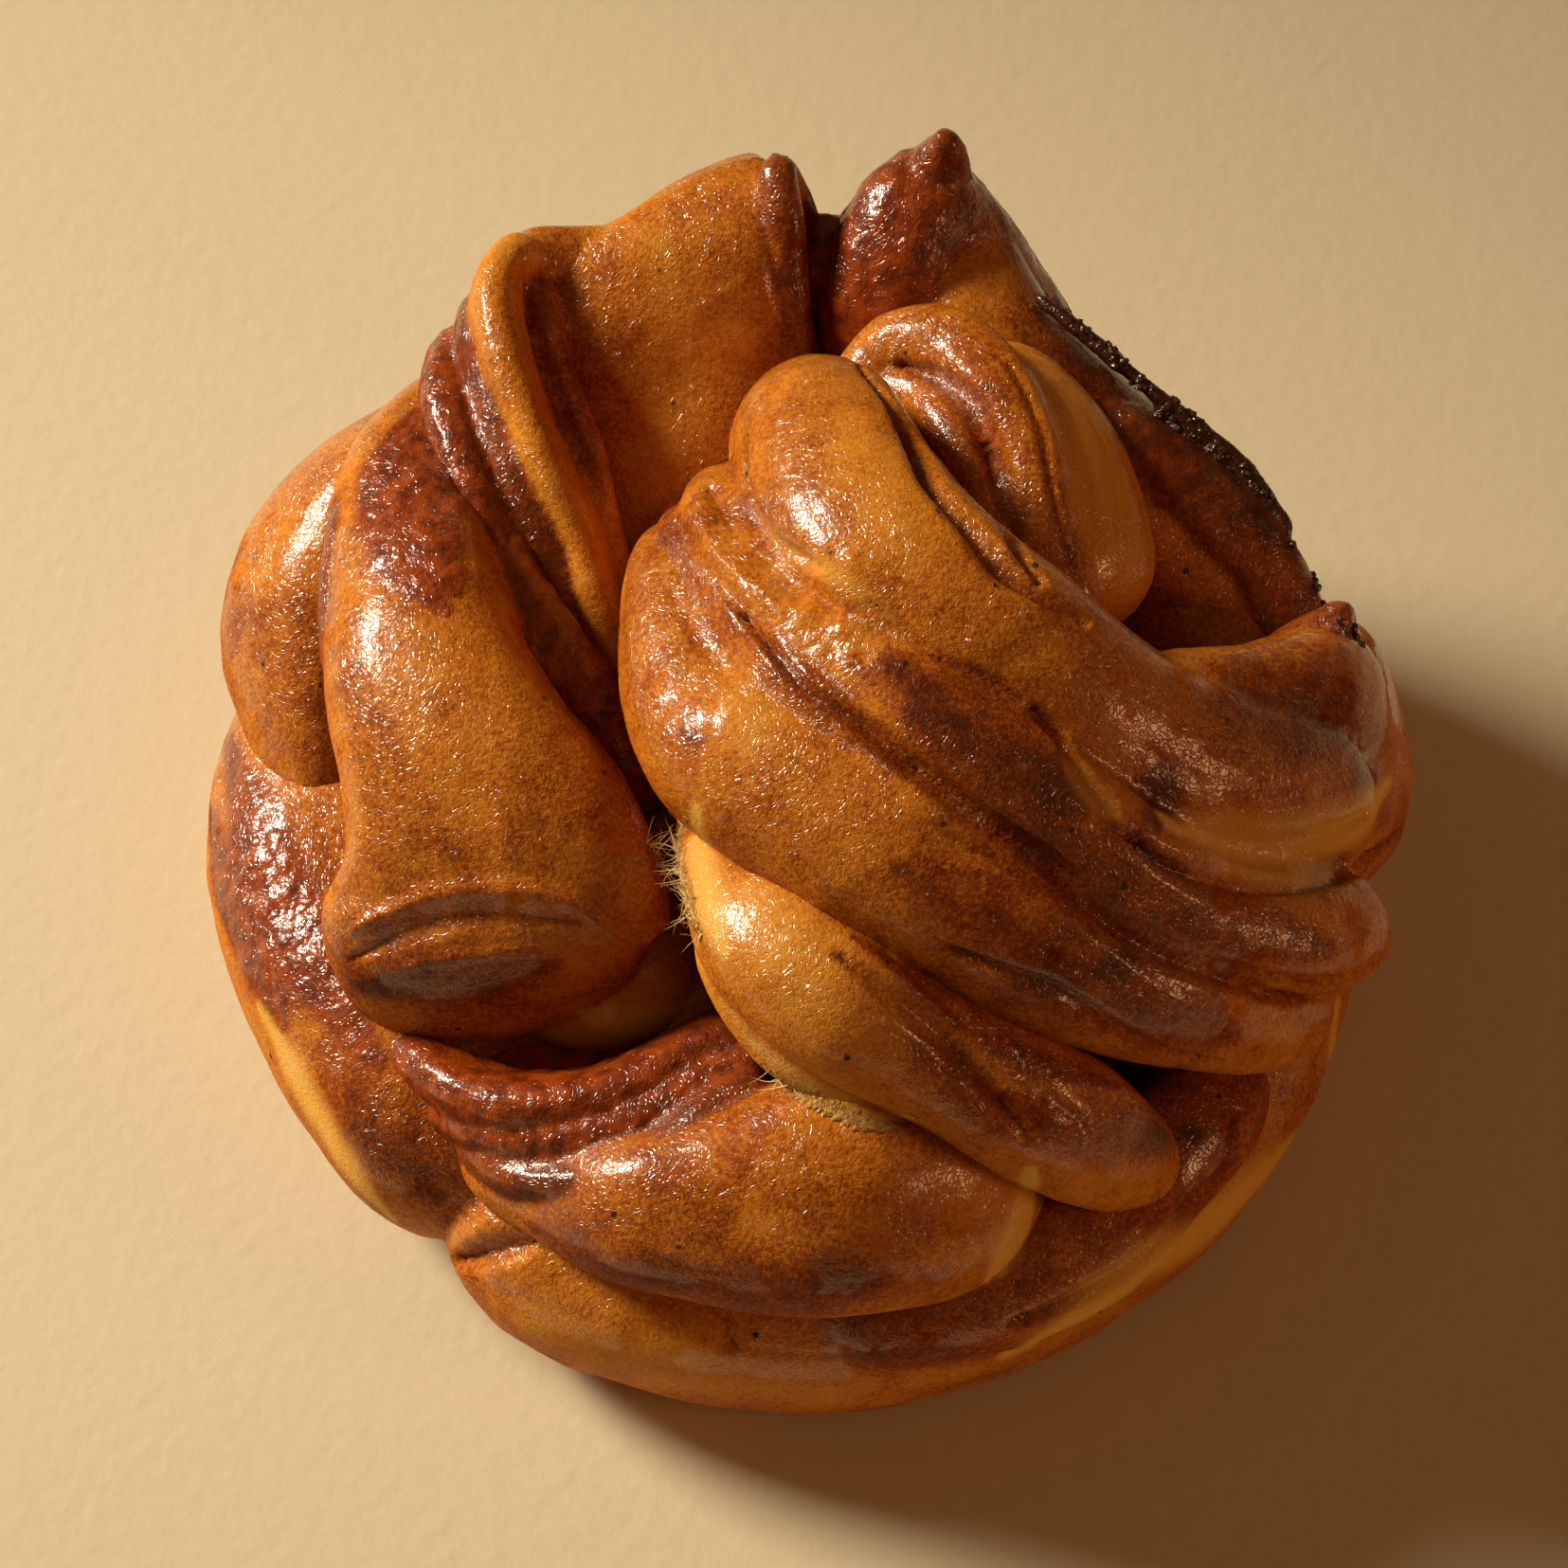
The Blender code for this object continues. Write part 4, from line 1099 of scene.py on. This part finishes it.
# %% The tree of the baked surface
def surface_tree():
    tree, given = new_tree("baked_surface", SURFACE_INPUTS)
    skin = given["Skin"]
    place = wire(tree, "GeometryNodeInputPosition")
    normal = wire(tree, "GeometryNodeInputNormal")

    # The finishes and the strand's own coordinates.
    strands = mesh_of(given["Strands"])
    for name in NAMES:
        feeds = {"Mesh": strands, "Value": attribute(tree, name), "Sample Position": place}
        kind = "GeometryNodeSampleNearestSurface"
        found = wire(tree, kind, feeds, "Value", data_type="FLOAT")
        if name in ("filling", "crumb", "brown"):
            found = blurred(found, FINISH_ROUNDS)
        skin = stored(skin, name, found)
    named = {name: attribute(tree, name) for name in (*NAMES, *DRAWN, "open")}

    # Hollow or ridged, in millimetres: how far the blurred skin lies above this point.
    smooth = blurred(place, HOLLOW_ROUNDS, "FLOAT_VECTOR")
    skin = stored(skin, "hollow", dot(smooth - place, normal) * PER_MM)
    opened = openness(mesh_of(given["Whole bun"]), place, normal)
    skin = stored(skin, "open", blurred(opened, OPEN_ROUNDS))

    # The relief, in millimetres along the normal.
    where = place * PER_MM + combined(tree, given["Seed"])
    waves = {name: noise(where, *pattern) for name, pattern in PATTERNS.items()}

    def lumps(size, detail, height):
        return (noise(where, 1.0 / size, detail) - 0.5) * height

    broad = lumps(given["Lump size"], 1.0, given["Lump height"] * WAVE_HEIGHT)
    fine = lumps(given["Dimple size"], 2.0, given["Dimple height"] * WAVE_HEIGHT)
    lanes = named["across"] / given["Stretch width"]
    strand_place = combined(tree, named["along"] / STRETCH_LENGTH, lanes, given["Seed"])
    folds = noise(strand_place, *FOLD_WAVES) - 0.5
    tight = between(waves["tight"], *TIGHT_BORDER) * given["Stretch height"]
    stretch = folds * tight * WAVE_HEIGHT

    # The filling shows where a strand is cut or where it is drawn, with a ragged border.
    ragged = waves["ragged"] - 0.5
    shown = named["filling"] + named["drawn_filling"] + ragged * RAGGED_FILLING
    syrup = between(shown, *SYRUP_BORDER)
    skin = stored(skin, "syrup", syrup)
    torn = named["crumb"] + named["drawn_crumb"] + ragged * RAGGED_TEAR
    skin = stored(skin, "torn", between(torn, *TORN_BORDER))
    grain = cells(where, 1.0 / given["Sugar size"], feature="SMOOTH_F1")
    knobs = SUGAR_LEVEL - grain
    patchy = between(waves["patchy"], *PATCHY_BORDER)
    lumpy = syrup * patchy + named["drawn_knobs"]
    sugar = knobs * (lumpy * given["Sugar height"])
    relief = broad + fine + stretch + sugar + named["drawn_press"]

    # How far the skin has browned, with painted shade where it is sheltered,
    # and where the filling is blotted.
    bake = BAKE_START + (waves["cloud"] - 0.5) * CLOUD_BROWN
    bake = bake + (waves["patch"] - 0.5) * PATCH_BROWN
    # The drawn browning carries the painted shade of the brown bands and the grooves.
    bake = bake + named["brown"] * FINISH_BROWN + named["drawn_brown"]
    # Painted shade: the less open the skin is, the browner it is painted.
    bake = bake + (1.0 - named["open"]) * SHELTERED_PAINTED_SHADE
    bake = bake + (waves["mottle"] - 0.5) * MOTTLE_BROWN
    skin = stored(skin, "bake", bake)
    skin = stored(skin, "blots", between(waves["blots"], *BLOTS_BORDER))

    # Egg wash is brushed on from above, so it misses the sides that face down.
    glaze = between(waves["glaze"], *GLAZE_BORDER)
    wet = syrup * between(glaze, 0.0, 1.0, WET_LEAST, 1.0)
    lift = wire(tree, "ShaderNodeSeparateXYZ", {0: normal}, "Z")
    glaze = largest(glaze, largest(wet, named["drawn_glaze"]))
    skin = stored(skin, "glaze", glaze * between(lift, *BRUSHED_BORDER))

    # The skin moves, but not through the table.
    axes = add(tree, "ShaderNodeSeparateXYZ", {0: place + normal * (relief * MM)}).outputs
    level = combined(tree, Wire(axes["X"]), Wire(axes["Y"]), largest(Wire(axes["Z"]), 0.0))
    skin = wire(tree, "GeometryNodeSetPosition", {"Geometry": skin, "Position": level})
    skin = wire(tree, "GeometryNodeSetShadeSmooth", {"Geometry": skin})
    return finish_tree(skin, given["Crust"])


# %% [markdown]
# The crust is one material. An egg wash browns it unevenly: the ridges most, while the stretches
# that opened late stay pale. The creases and the sheltered skin are darker, as painted shade. The
# filling at the cut edges is dark, wet and sticky, and torn crumb is pale and dull. A thin glaze
# lies on in patches with ragged edges, which is why the shine comes and goes.

# %% Colours, as the eye sees them on a screen
def from_screen(red, green, blue):
    found = []
    for value in (red, green, blue):
        share = value / 255
        found.append(share / 12.92 if share <= 0.04045 else ((share + 0.055) / 1.055) ** 2.4)
    return (*found, 1.0)


PALE = from_screen(236, 178, 80)
TAN = from_screen(222, 150, 54)
GOLD = from_screen(204, 120, 26)
BROWN = from_screen(150, 66, 4)
DEEP_BROWN = from_screen(88, 32, 2)
SYRUP = from_screen(100, 31, 4)
SYRUP_LIGHT = from_screen(160, 68, 10)
CHARRED = from_screen(62, 24, 8)
CRUMB = from_screen(232, 188, 110)
CRUMB_SHADE = from_screen(196, 128, 44)
THREAD = from_screen(250, 222, 160)
SPICE = from_screen(60, 30, 16)
PAPER = from_screen(220, 206, 176)

# %% Helpers for materials
MIX_SHARE, MIX_A, MIX_B = 0, 6, 7
MIX_COLOUR = 2


def mixed(share, a, b):
    feeds = {MIX_SHARE: share, MIX_A: a, MIX_B: b}
    return wire(share.tree, "ShaderNodeMix", feeds, MIX_COLOUR, data_type="RGBA")


def colour_ramp(share, stops):
    made = add(share.tree, "ShaderNodeValToRGB", {"Fac": share})
    ramp = made.color_ramp
    for number, (position, colour) in enumerate(stops):
        stop = ramp.elements[number] if number < 2 else ramp.elements.new(position)
        stop.position = position
        stop.color = colour
    return Wire(made.outputs["Color"])


def bump(height, strength=1.0, distance=MM, **more):
    feeds = {"Height": height, "Strength": strength, "Distance": distance, **more}
    return wire(height.tree, "ShaderNodeBump", feeds, "Normal")


def new_material(name, **settings):
    material = bpy.data.materials.new(name)
    material.use_nodes = True
    shader = material.node_tree.nodes["Principled BSDF"].inputs
    for key, value in settings.items():
        shader[key.replace("_", " ")].default_value = value
    return material, shader


def place_in_mm(material):
    return wire(material.node_tree, "ShaderNodeTexCoord", out="Object") * PER_MM


# %% [markdown]
# The fine grain of the crust is one noise that is used all over: it frays the border of the glaze,
# dots the browning and pits the surface.

# %% The crust's material
GRAIN = (2.3, 3.0, 0.75)
GRAIN_BROWN = 1.25
RIDGE_BROWN = 0.10
# Painted shade: the creases are darkened by this share.
CREASE_PAINTED_SHADE = 0.45
GRAIN_PALE = 0.5
GRAIN_GLAZE = 0.9
SPECKS_PER_MM = 0.33
WRINKLES_ALONG = 0.35
WRINKLES_ACROSS = 1.3
WRINKLE_HEIGHT = 0.03
PLATES_PER_MM = 1.7
PLATE_DRIFT = 1.6
CRACKLE_HEIGHT = 0.024
BEADS_PER_MM = 0.8
BEAD_HEIGHT = 0.22
COAT_TOOTH = 0.02
CRUST_TOOTH = 0.11
RIDGES = (0.0, -0.35)
CREASES = (0.06, 0.6)
PALE_BORDER = (0.0, 1.1)
CHARRED_BORDER = (1.1, 1.6)
CRUMB_HOLES = (-0.15, 0.1)
CRACKS = (0.0, 0.15)
RARE_SPECKS = (0.72, 0.74)
SPECK_RIM = (0.13, 0.07)
COAT_WEIGHTS = (0.08, 1.0)
ROUGHNESSES = (0.6, 0.45)
CRUST_STOPS = ((0.0, TAN), (1.0, DEEP_BROWN), (0.35, GOLD), (0.68, BROWN))
SHOWN = (
    "along", "across", "hollow", "bake", "blots", "syrup", "torn", "glaze", "drawn_pale",
    "drawn_knobs",
)


def crust_colour(in_mm, named, grain):
    # Ridges brown more, and the creases are darkened as painted shade.
    bake = named["bake"] + grain * GRAIN_BROWN
    bake = bake + between(named["hollow"], *RIDGES) * RIDGE_BROWN
    bake = bake + between(named["hollow"], *CREASES) * CREASE_PAINTED_SHADE
    colour = colour_ramp(bake, CRUST_STOPS)
    late = named["drawn_pale"] + grain * GRAIN_PALE
    colour = mixed(between(late, *PALE_BORDER), colour, PALE)

    # The cut filling, what is burnt, and the torn crumb.
    colour = mixed(named["syrup"], colour, mixed(named["blots"], SYRUP, SYRUP_LIGHT))
    colour = mixed(between(named["bake"], *CHARRED_BORDER), colour, CHARRED)
    crumb = mixed(between(grain, *CRUMB_HOLES), CRUMB_SHADE, CRUMB)
    colour = mixed(named["torn"], colour, crumb)

    # Specks of spice.
    feeds = {"Vector": in_mm, "Scale": SPECKS_PER_MM}
    dots = add(in_mm.tree, "ShaderNodeTexVoronoi", feeds).outputs
    rare = between(Wire(dots["Color"]), *RARE_SPECKS)
    small = between(Wire(dots["Distance"]), *SPECK_RIM)
    return mixed(small * rare, colour, SPICE)


def crust_relief(in_mm, named):
    # The glaze fills the grain, so its own relief is less than the crust's.
    tree = in_mm.tree
    lanes = combined(tree, named["along"] * WRINKLES_ALONG, named["across"] * WRINKLES_ACROSS)
    wrinkle = noise(lanes, 1.0, 1.0) * WRINKLE_HEIGHT
    feeds = {"Vector": in_mm, "Scale": 1.0, "Detail": 0.0}
    drift = wire(tree, "ShaderNodeTexNoise", feeds, "Color")
    plates = cells(in_mm + drift * PLATE_DRIFT, PLATES_PER_MM, feature="DISTANCE_TO_EDGE")
    crackle = between(plates, *CRACKS) * CRACKLE_HEIGHT
    tooth = noise(in_mm, *GRAIN)
    beads = noise(in_mm, BEADS_PER_MM, 1.0) * BEAD_HEIGHT
    glossy = wrinkle + crackle + tooth * COAT_TOOTH
    glossy = glossy + beads * (named["syrup"] + named["drawn_knobs"])
    coat_normal = bump(glossy)
    rough = tooth * CRUST_TOOTH + tooth * named["torn"]
    return coat_normal, bump(rough, Normal=coat_normal)


def crust_material():
    material, shader = new_material(
        "egg_washed_crust", Coat_Roughness=0.11, Coat_IOR=1.6, Specular_IOR_Level=0.12
    )
    in_mm = place_in_mm(material)
    named = {}
    for name in SHOWN:
        settings = {"attribute_type": "GEOMETRY", "attribute_name": name}
        named[name] = wire(in_mm.tree, "ShaderNodeAttribute", out="Fac", **settings)
    grain = noise(in_mm, *GRAIN) - 0.5
    feed(shader["Base Color"], crust_colour(in_mm, named, grain))

    # The glaze lies in patches with ragged borders, and never on torn crumb.
    glaze = between(named["glaze"] + grain * GRAIN_GLAZE, *GLAZE_BORDER) * (1.0 - named["torn"])
    feed(shader["Coat Weight"], between(glaze, 0.0, 1.0, *COAT_WEIGHTS))
    feed(shader["Roughness"], between(glaze, 0.0, 1.0, *ROUGHNESSES))
    coat_normal, normal = crust_relief(in_mm, named)
    feed(shader["Coat Normal"], coat_normal)
    feed(shader["Normal"], normal)
    return material


crust = crust_material()
print("The crust's material:", len(crust.node_tree.nodes), "nodes")

# %% The baked surface on every piece
RELIEF = {"front_strap": {"Stretch height": 0.0, "Dimple height": 0.06}}
SEED_STEP = 50.0

baked_surface = surface_tree()
for number, (name, piece) in enumerate(pieces.items()):
    values = {"Strands": rough[name], "Whole bun": solid, "Crust": crust}
    values["Seed"] = SEED_STEP * number
    run_tree(piece, baked_surface, values | RELIEF.get(name, {}))
    bpy.data.objects.remove(rough[name], do_unlink=True)
    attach(piece, "root")
    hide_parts("braided_roll")
    print(name, len(piece.data.polygons), "faces")

# %% [markdown]
# Two things are too loose for relief. Where strands were torn apart in the oven, threads of crumb
# stand up from the tear. Along the back rim the filling boiled over and burnt to small grains. One
# tree strews both: it puts points on the baked skin where the drawing asks for them, stands a
# small thing on each, turned and scaled at random, and makes them real.

# %% A thread and a grain, each about a millimetre
THREAD_RINGS = 5
THREAD_SIDES = 4
THREAD_RADIUS = 0.026
THREAD_TIP = 0.1
THREAD_BEND = 0.6
GRAIN_UNEVENNESS = 0.22
GRAIN_SEED = 5


def helper(name, points, faces):
    data = bpy.data.meshes.new(name)
    data.from_pydata((np.array(points) * MM).tolist(), [], faces)
    return linked(name, data)


def thread():
    points = []
    for t in np.linspace(0, 1, THREAD_RINGS):
        radius = THREAD_RADIUS * (1 + THREAD_TIP - t)
        for k in range(THREAD_SIDES):
            turn = 2 * math.pi * k / THREAD_SIDES
            across = math.cos(turn) * radius + THREAD_BEND * t * t
            points.append((across, math.sin(turn) * radius, t))
    return helper("thread", points, tube_faces(THREAD_RINGS, THREAD_SIDES, 0))


def grain_of_filling():
    ball = bmesh.new()
    bmesh.ops.create_icosphere(ball, subdivisions=2, radius=0.5)
    ball.verts.ensure_lookup_table()
    points = np.array([tuple(vert.co) for vert in ball.verts])
    faces = [[vert.index for vert in face.verts] for face in ball.faces]
    ball.free()
    spread = np.random.default_rng(GRAIN_SEED).uniform(-1, 1, len(points))
    return helper("grain", points * (1 + GRAIN_UNEVENNESS * spread[:, None]), faces)


# %% The tree that strews them
STREW_INPUTS = (
    ("Skin", "Object", None),
    ("Thing", "Object", None),
    ("Where", "String", ""),
    ("Per square mm", "Float", 10.0),
    ("Smallest", "Float", 0.5),
    ("Largest", "Float", 1.0),
    ("Lean", "Float", 0.8),
    ("Seed", "Int", 0),
    ("Material", "Material", None),
)
STREW_BORDER = (0.25, 0.6)


def strew_tree():
    tree, given = new_tree("strewn_over_skin", STREW_INPUTS)
    share = between(attribute(tree, given["Where"]), *STREW_BORDER)
    feeds = {"Mesh": mesh_of(given["Skin"]), "Seed": given["Seed"]}
    feeds["Density"] = share * (given["Per square mm"] * (PER_MM * PER_MM))
    points = add(tree, "GeometryNodeDistributePointsOnFaces", feeds).outputs

    lean = given["Lean"]
    least = combined(tree, lean * -1.0, lean * -1.0)
    feeds = {0: least, 1: combined(tree, lean, lean, 2 * math.pi), "Seed": given["Seed"]}
    turn = wire(tree, "FunctionNodeRandomValue", feeds, data_type="FLOAT_VECTOR")
    turn = wire(tree, "FunctionNodeEulerToRotation", {0: turn})
    feeds = {"Rotation": Wire(points["Rotation"]), "Rotate By": turn}
    turned = wire(tree, "FunctionNodeRotateRotation", feeds, rotation_space="LOCAL")
    feeds = {2: given["Smallest"], 3: given["Largest"], "Seed": given["Seed"]}
    size = wire(tree, "FunctionNodeRandomValue", feeds, 1, data_type="FLOAT")
    feeds = {
        "Points": Wire(points["Points"]),
        "Instance": mesh_of(given["Thing"]),
        "Rotation": turned,
        "Scale": combined(tree, size, size, size),
    }
    return finish_tree(wire(tree, "GeometryNodeInstanceOnPoints", feeds), given["Material"])


# %% Threads of crumb and grains of burnt filling
torn_crumb, _ = new_material(
    "torn_crumb", Base_Color=THREAD, Roughness=0.8, Coat_Weight=0.0, Coat_Roughness=0.15
)
burnt_filling, _ = new_material(
    "burnt_filling", Base_Color=CHARRED, Roughness=0.45, Coat_Weight=0.6, Coat_Roughness=0.15
)
THREADS = {"slot": "crumb", "make": thread, "Where": "drawn_threads", "Material": torn_crumb}
GRAINS = {
    "slot": "filling", "make": grain_of_filling, "Where": "drawn_burnt", "Material": burnt_filling,
}
SIZES = ("Per square mm", "Smallest", "Largest", "Lean")
STREWN = {
    "threads": (THREADS, "front_roll", (7.0, 0.6, 2.6, 1.2)),
    "strap_threads": (THREADS, "left_strap", (6.0, 0.6, 2.6, 1.4)),
    "grains": (GRAINS, "back_fold", (2.0, 0.35, 0.8, 3.0)),
    "tip_grains": (GRAINS, "knot", (1.2, 0.4, 0.9, 3.0)),
}

strewn_over_skin = strew_tree()
for number, (name, (kind, skin, sizes)) in enumerate(STREWN.items()):
    strewn = helper(name, [], [])
    thing = kind["make"]()
    values = {"Skin": pieces[skin], "Thing": thing, "Seed": number}
    run_tree(strewn, strewn_over_skin, kind | values | dict(zip(SIZES, sizes)))
    bpy.data.objects.remove(thing, do_unlink=True)
    print(name, len(strewn.data.polygons), "faces")
    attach(strewn, "root")
    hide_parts("braided_roll")

# %% [markdown]
# A plain pale floor, and a soft studio light from the back left, low enough to rake the folds. Its
# beam is narrow, so it is the stronger light on the bun, though its power is less. A wide, warm
# light from the front right opens the shadows and gives the glaze something to mirror.

# %% Floor
FLOOR_HALF = 1.5
PAPER_TOOTH = (0.5, 4.0)
PAPER_BUMP = (0.3, 0.3 * MM)


def floor_material():
    material, shader = new_material("pale_paper", Base_Color=PAPER, Roughness=0.9)
    tooth = noise(place_in_mm(material), *PAPER_TOOTH)
    feed(shader["Normal"], bump(tooth, *PAPER_BUMP))
    return material


floor_mesh = bmesh.new()
bmesh.ops.create_grid(floor_mesh, x_segments=1, y_segments=1, size=FLOOR_HALF)
floor_data = bpy.data.meshes.new("floor")
floor_mesh.to_mesh(floor_data)
floor_mesh.free()
floor_data.materials.append(floor_material())
floor = linked("floor", floor_data)
print("Floor:", 2 * FLOOR_HALF, "m wide")

# %% Light
# Each aims at a place in mm. Angles are in degrees, sizes and distances in metres, power in watts.
LIGHTS = {
    "key_light": {
        "target": (-60, -10, 0), "azimuth": 151, "elevation": 33, "distance": 0.90,
        "size": 0.28, "spread": 36, "power": 0.73, "colour": (1.0, 0.88, 0.67),
    },
    "fill_light": {
        "target": (0, 0, 20), "azimuth": -22, "elevation": 26, "distance": 1.0,
        "size": 0.27, "spread": 180, "power": 1.4, "colour": (1.0, 0.47, 0.20),
    },
}
ROOM_COLOUR = (1.0, 0.54, 0.18, 1.0)
ROOM_STRENGTH = 0.09


def area_light(name, target, azimuth, elevation, distance, size, spread, power, colour):
    data = bpy.data.lights.new(name, "AREA")
    data.shape = "SQUARE"
    data.size = size
    data.spread = math.radians(spread)
    data.energy = power
    data.color = colour
    light = linked(name, data)
    turn = math.radians(azimuth)
    lift = math.radians(elevation)
    out = (math.cos(turn) * math.cos(lift), math.sin(turn) * math.cos(lift), math.sin(lift))
    direction = Vector(out)
    light.location = Vector(target) * MM + direction * distance
    light.rotation_mode = "QUATERNION"
    light.rotation_quaternion = (-direction).to_track_quat("-Z", "Y")


for name, values in LIGHTS.items():
    area_light(name, **values)

world = bpy.data.worlds.new("room")
world.use_nodes = True
background = world.node_tree.nodes["Background"].inputs
background["Color"].default_value = ROOM_COLOUR
background["Strength"].default_value = ROOM_STRENGTH
bpy.context.scene.world = world
bpy.context.scene.view_settings.view_transform = "Standard"
print("Lights:", list(LIGHTS))
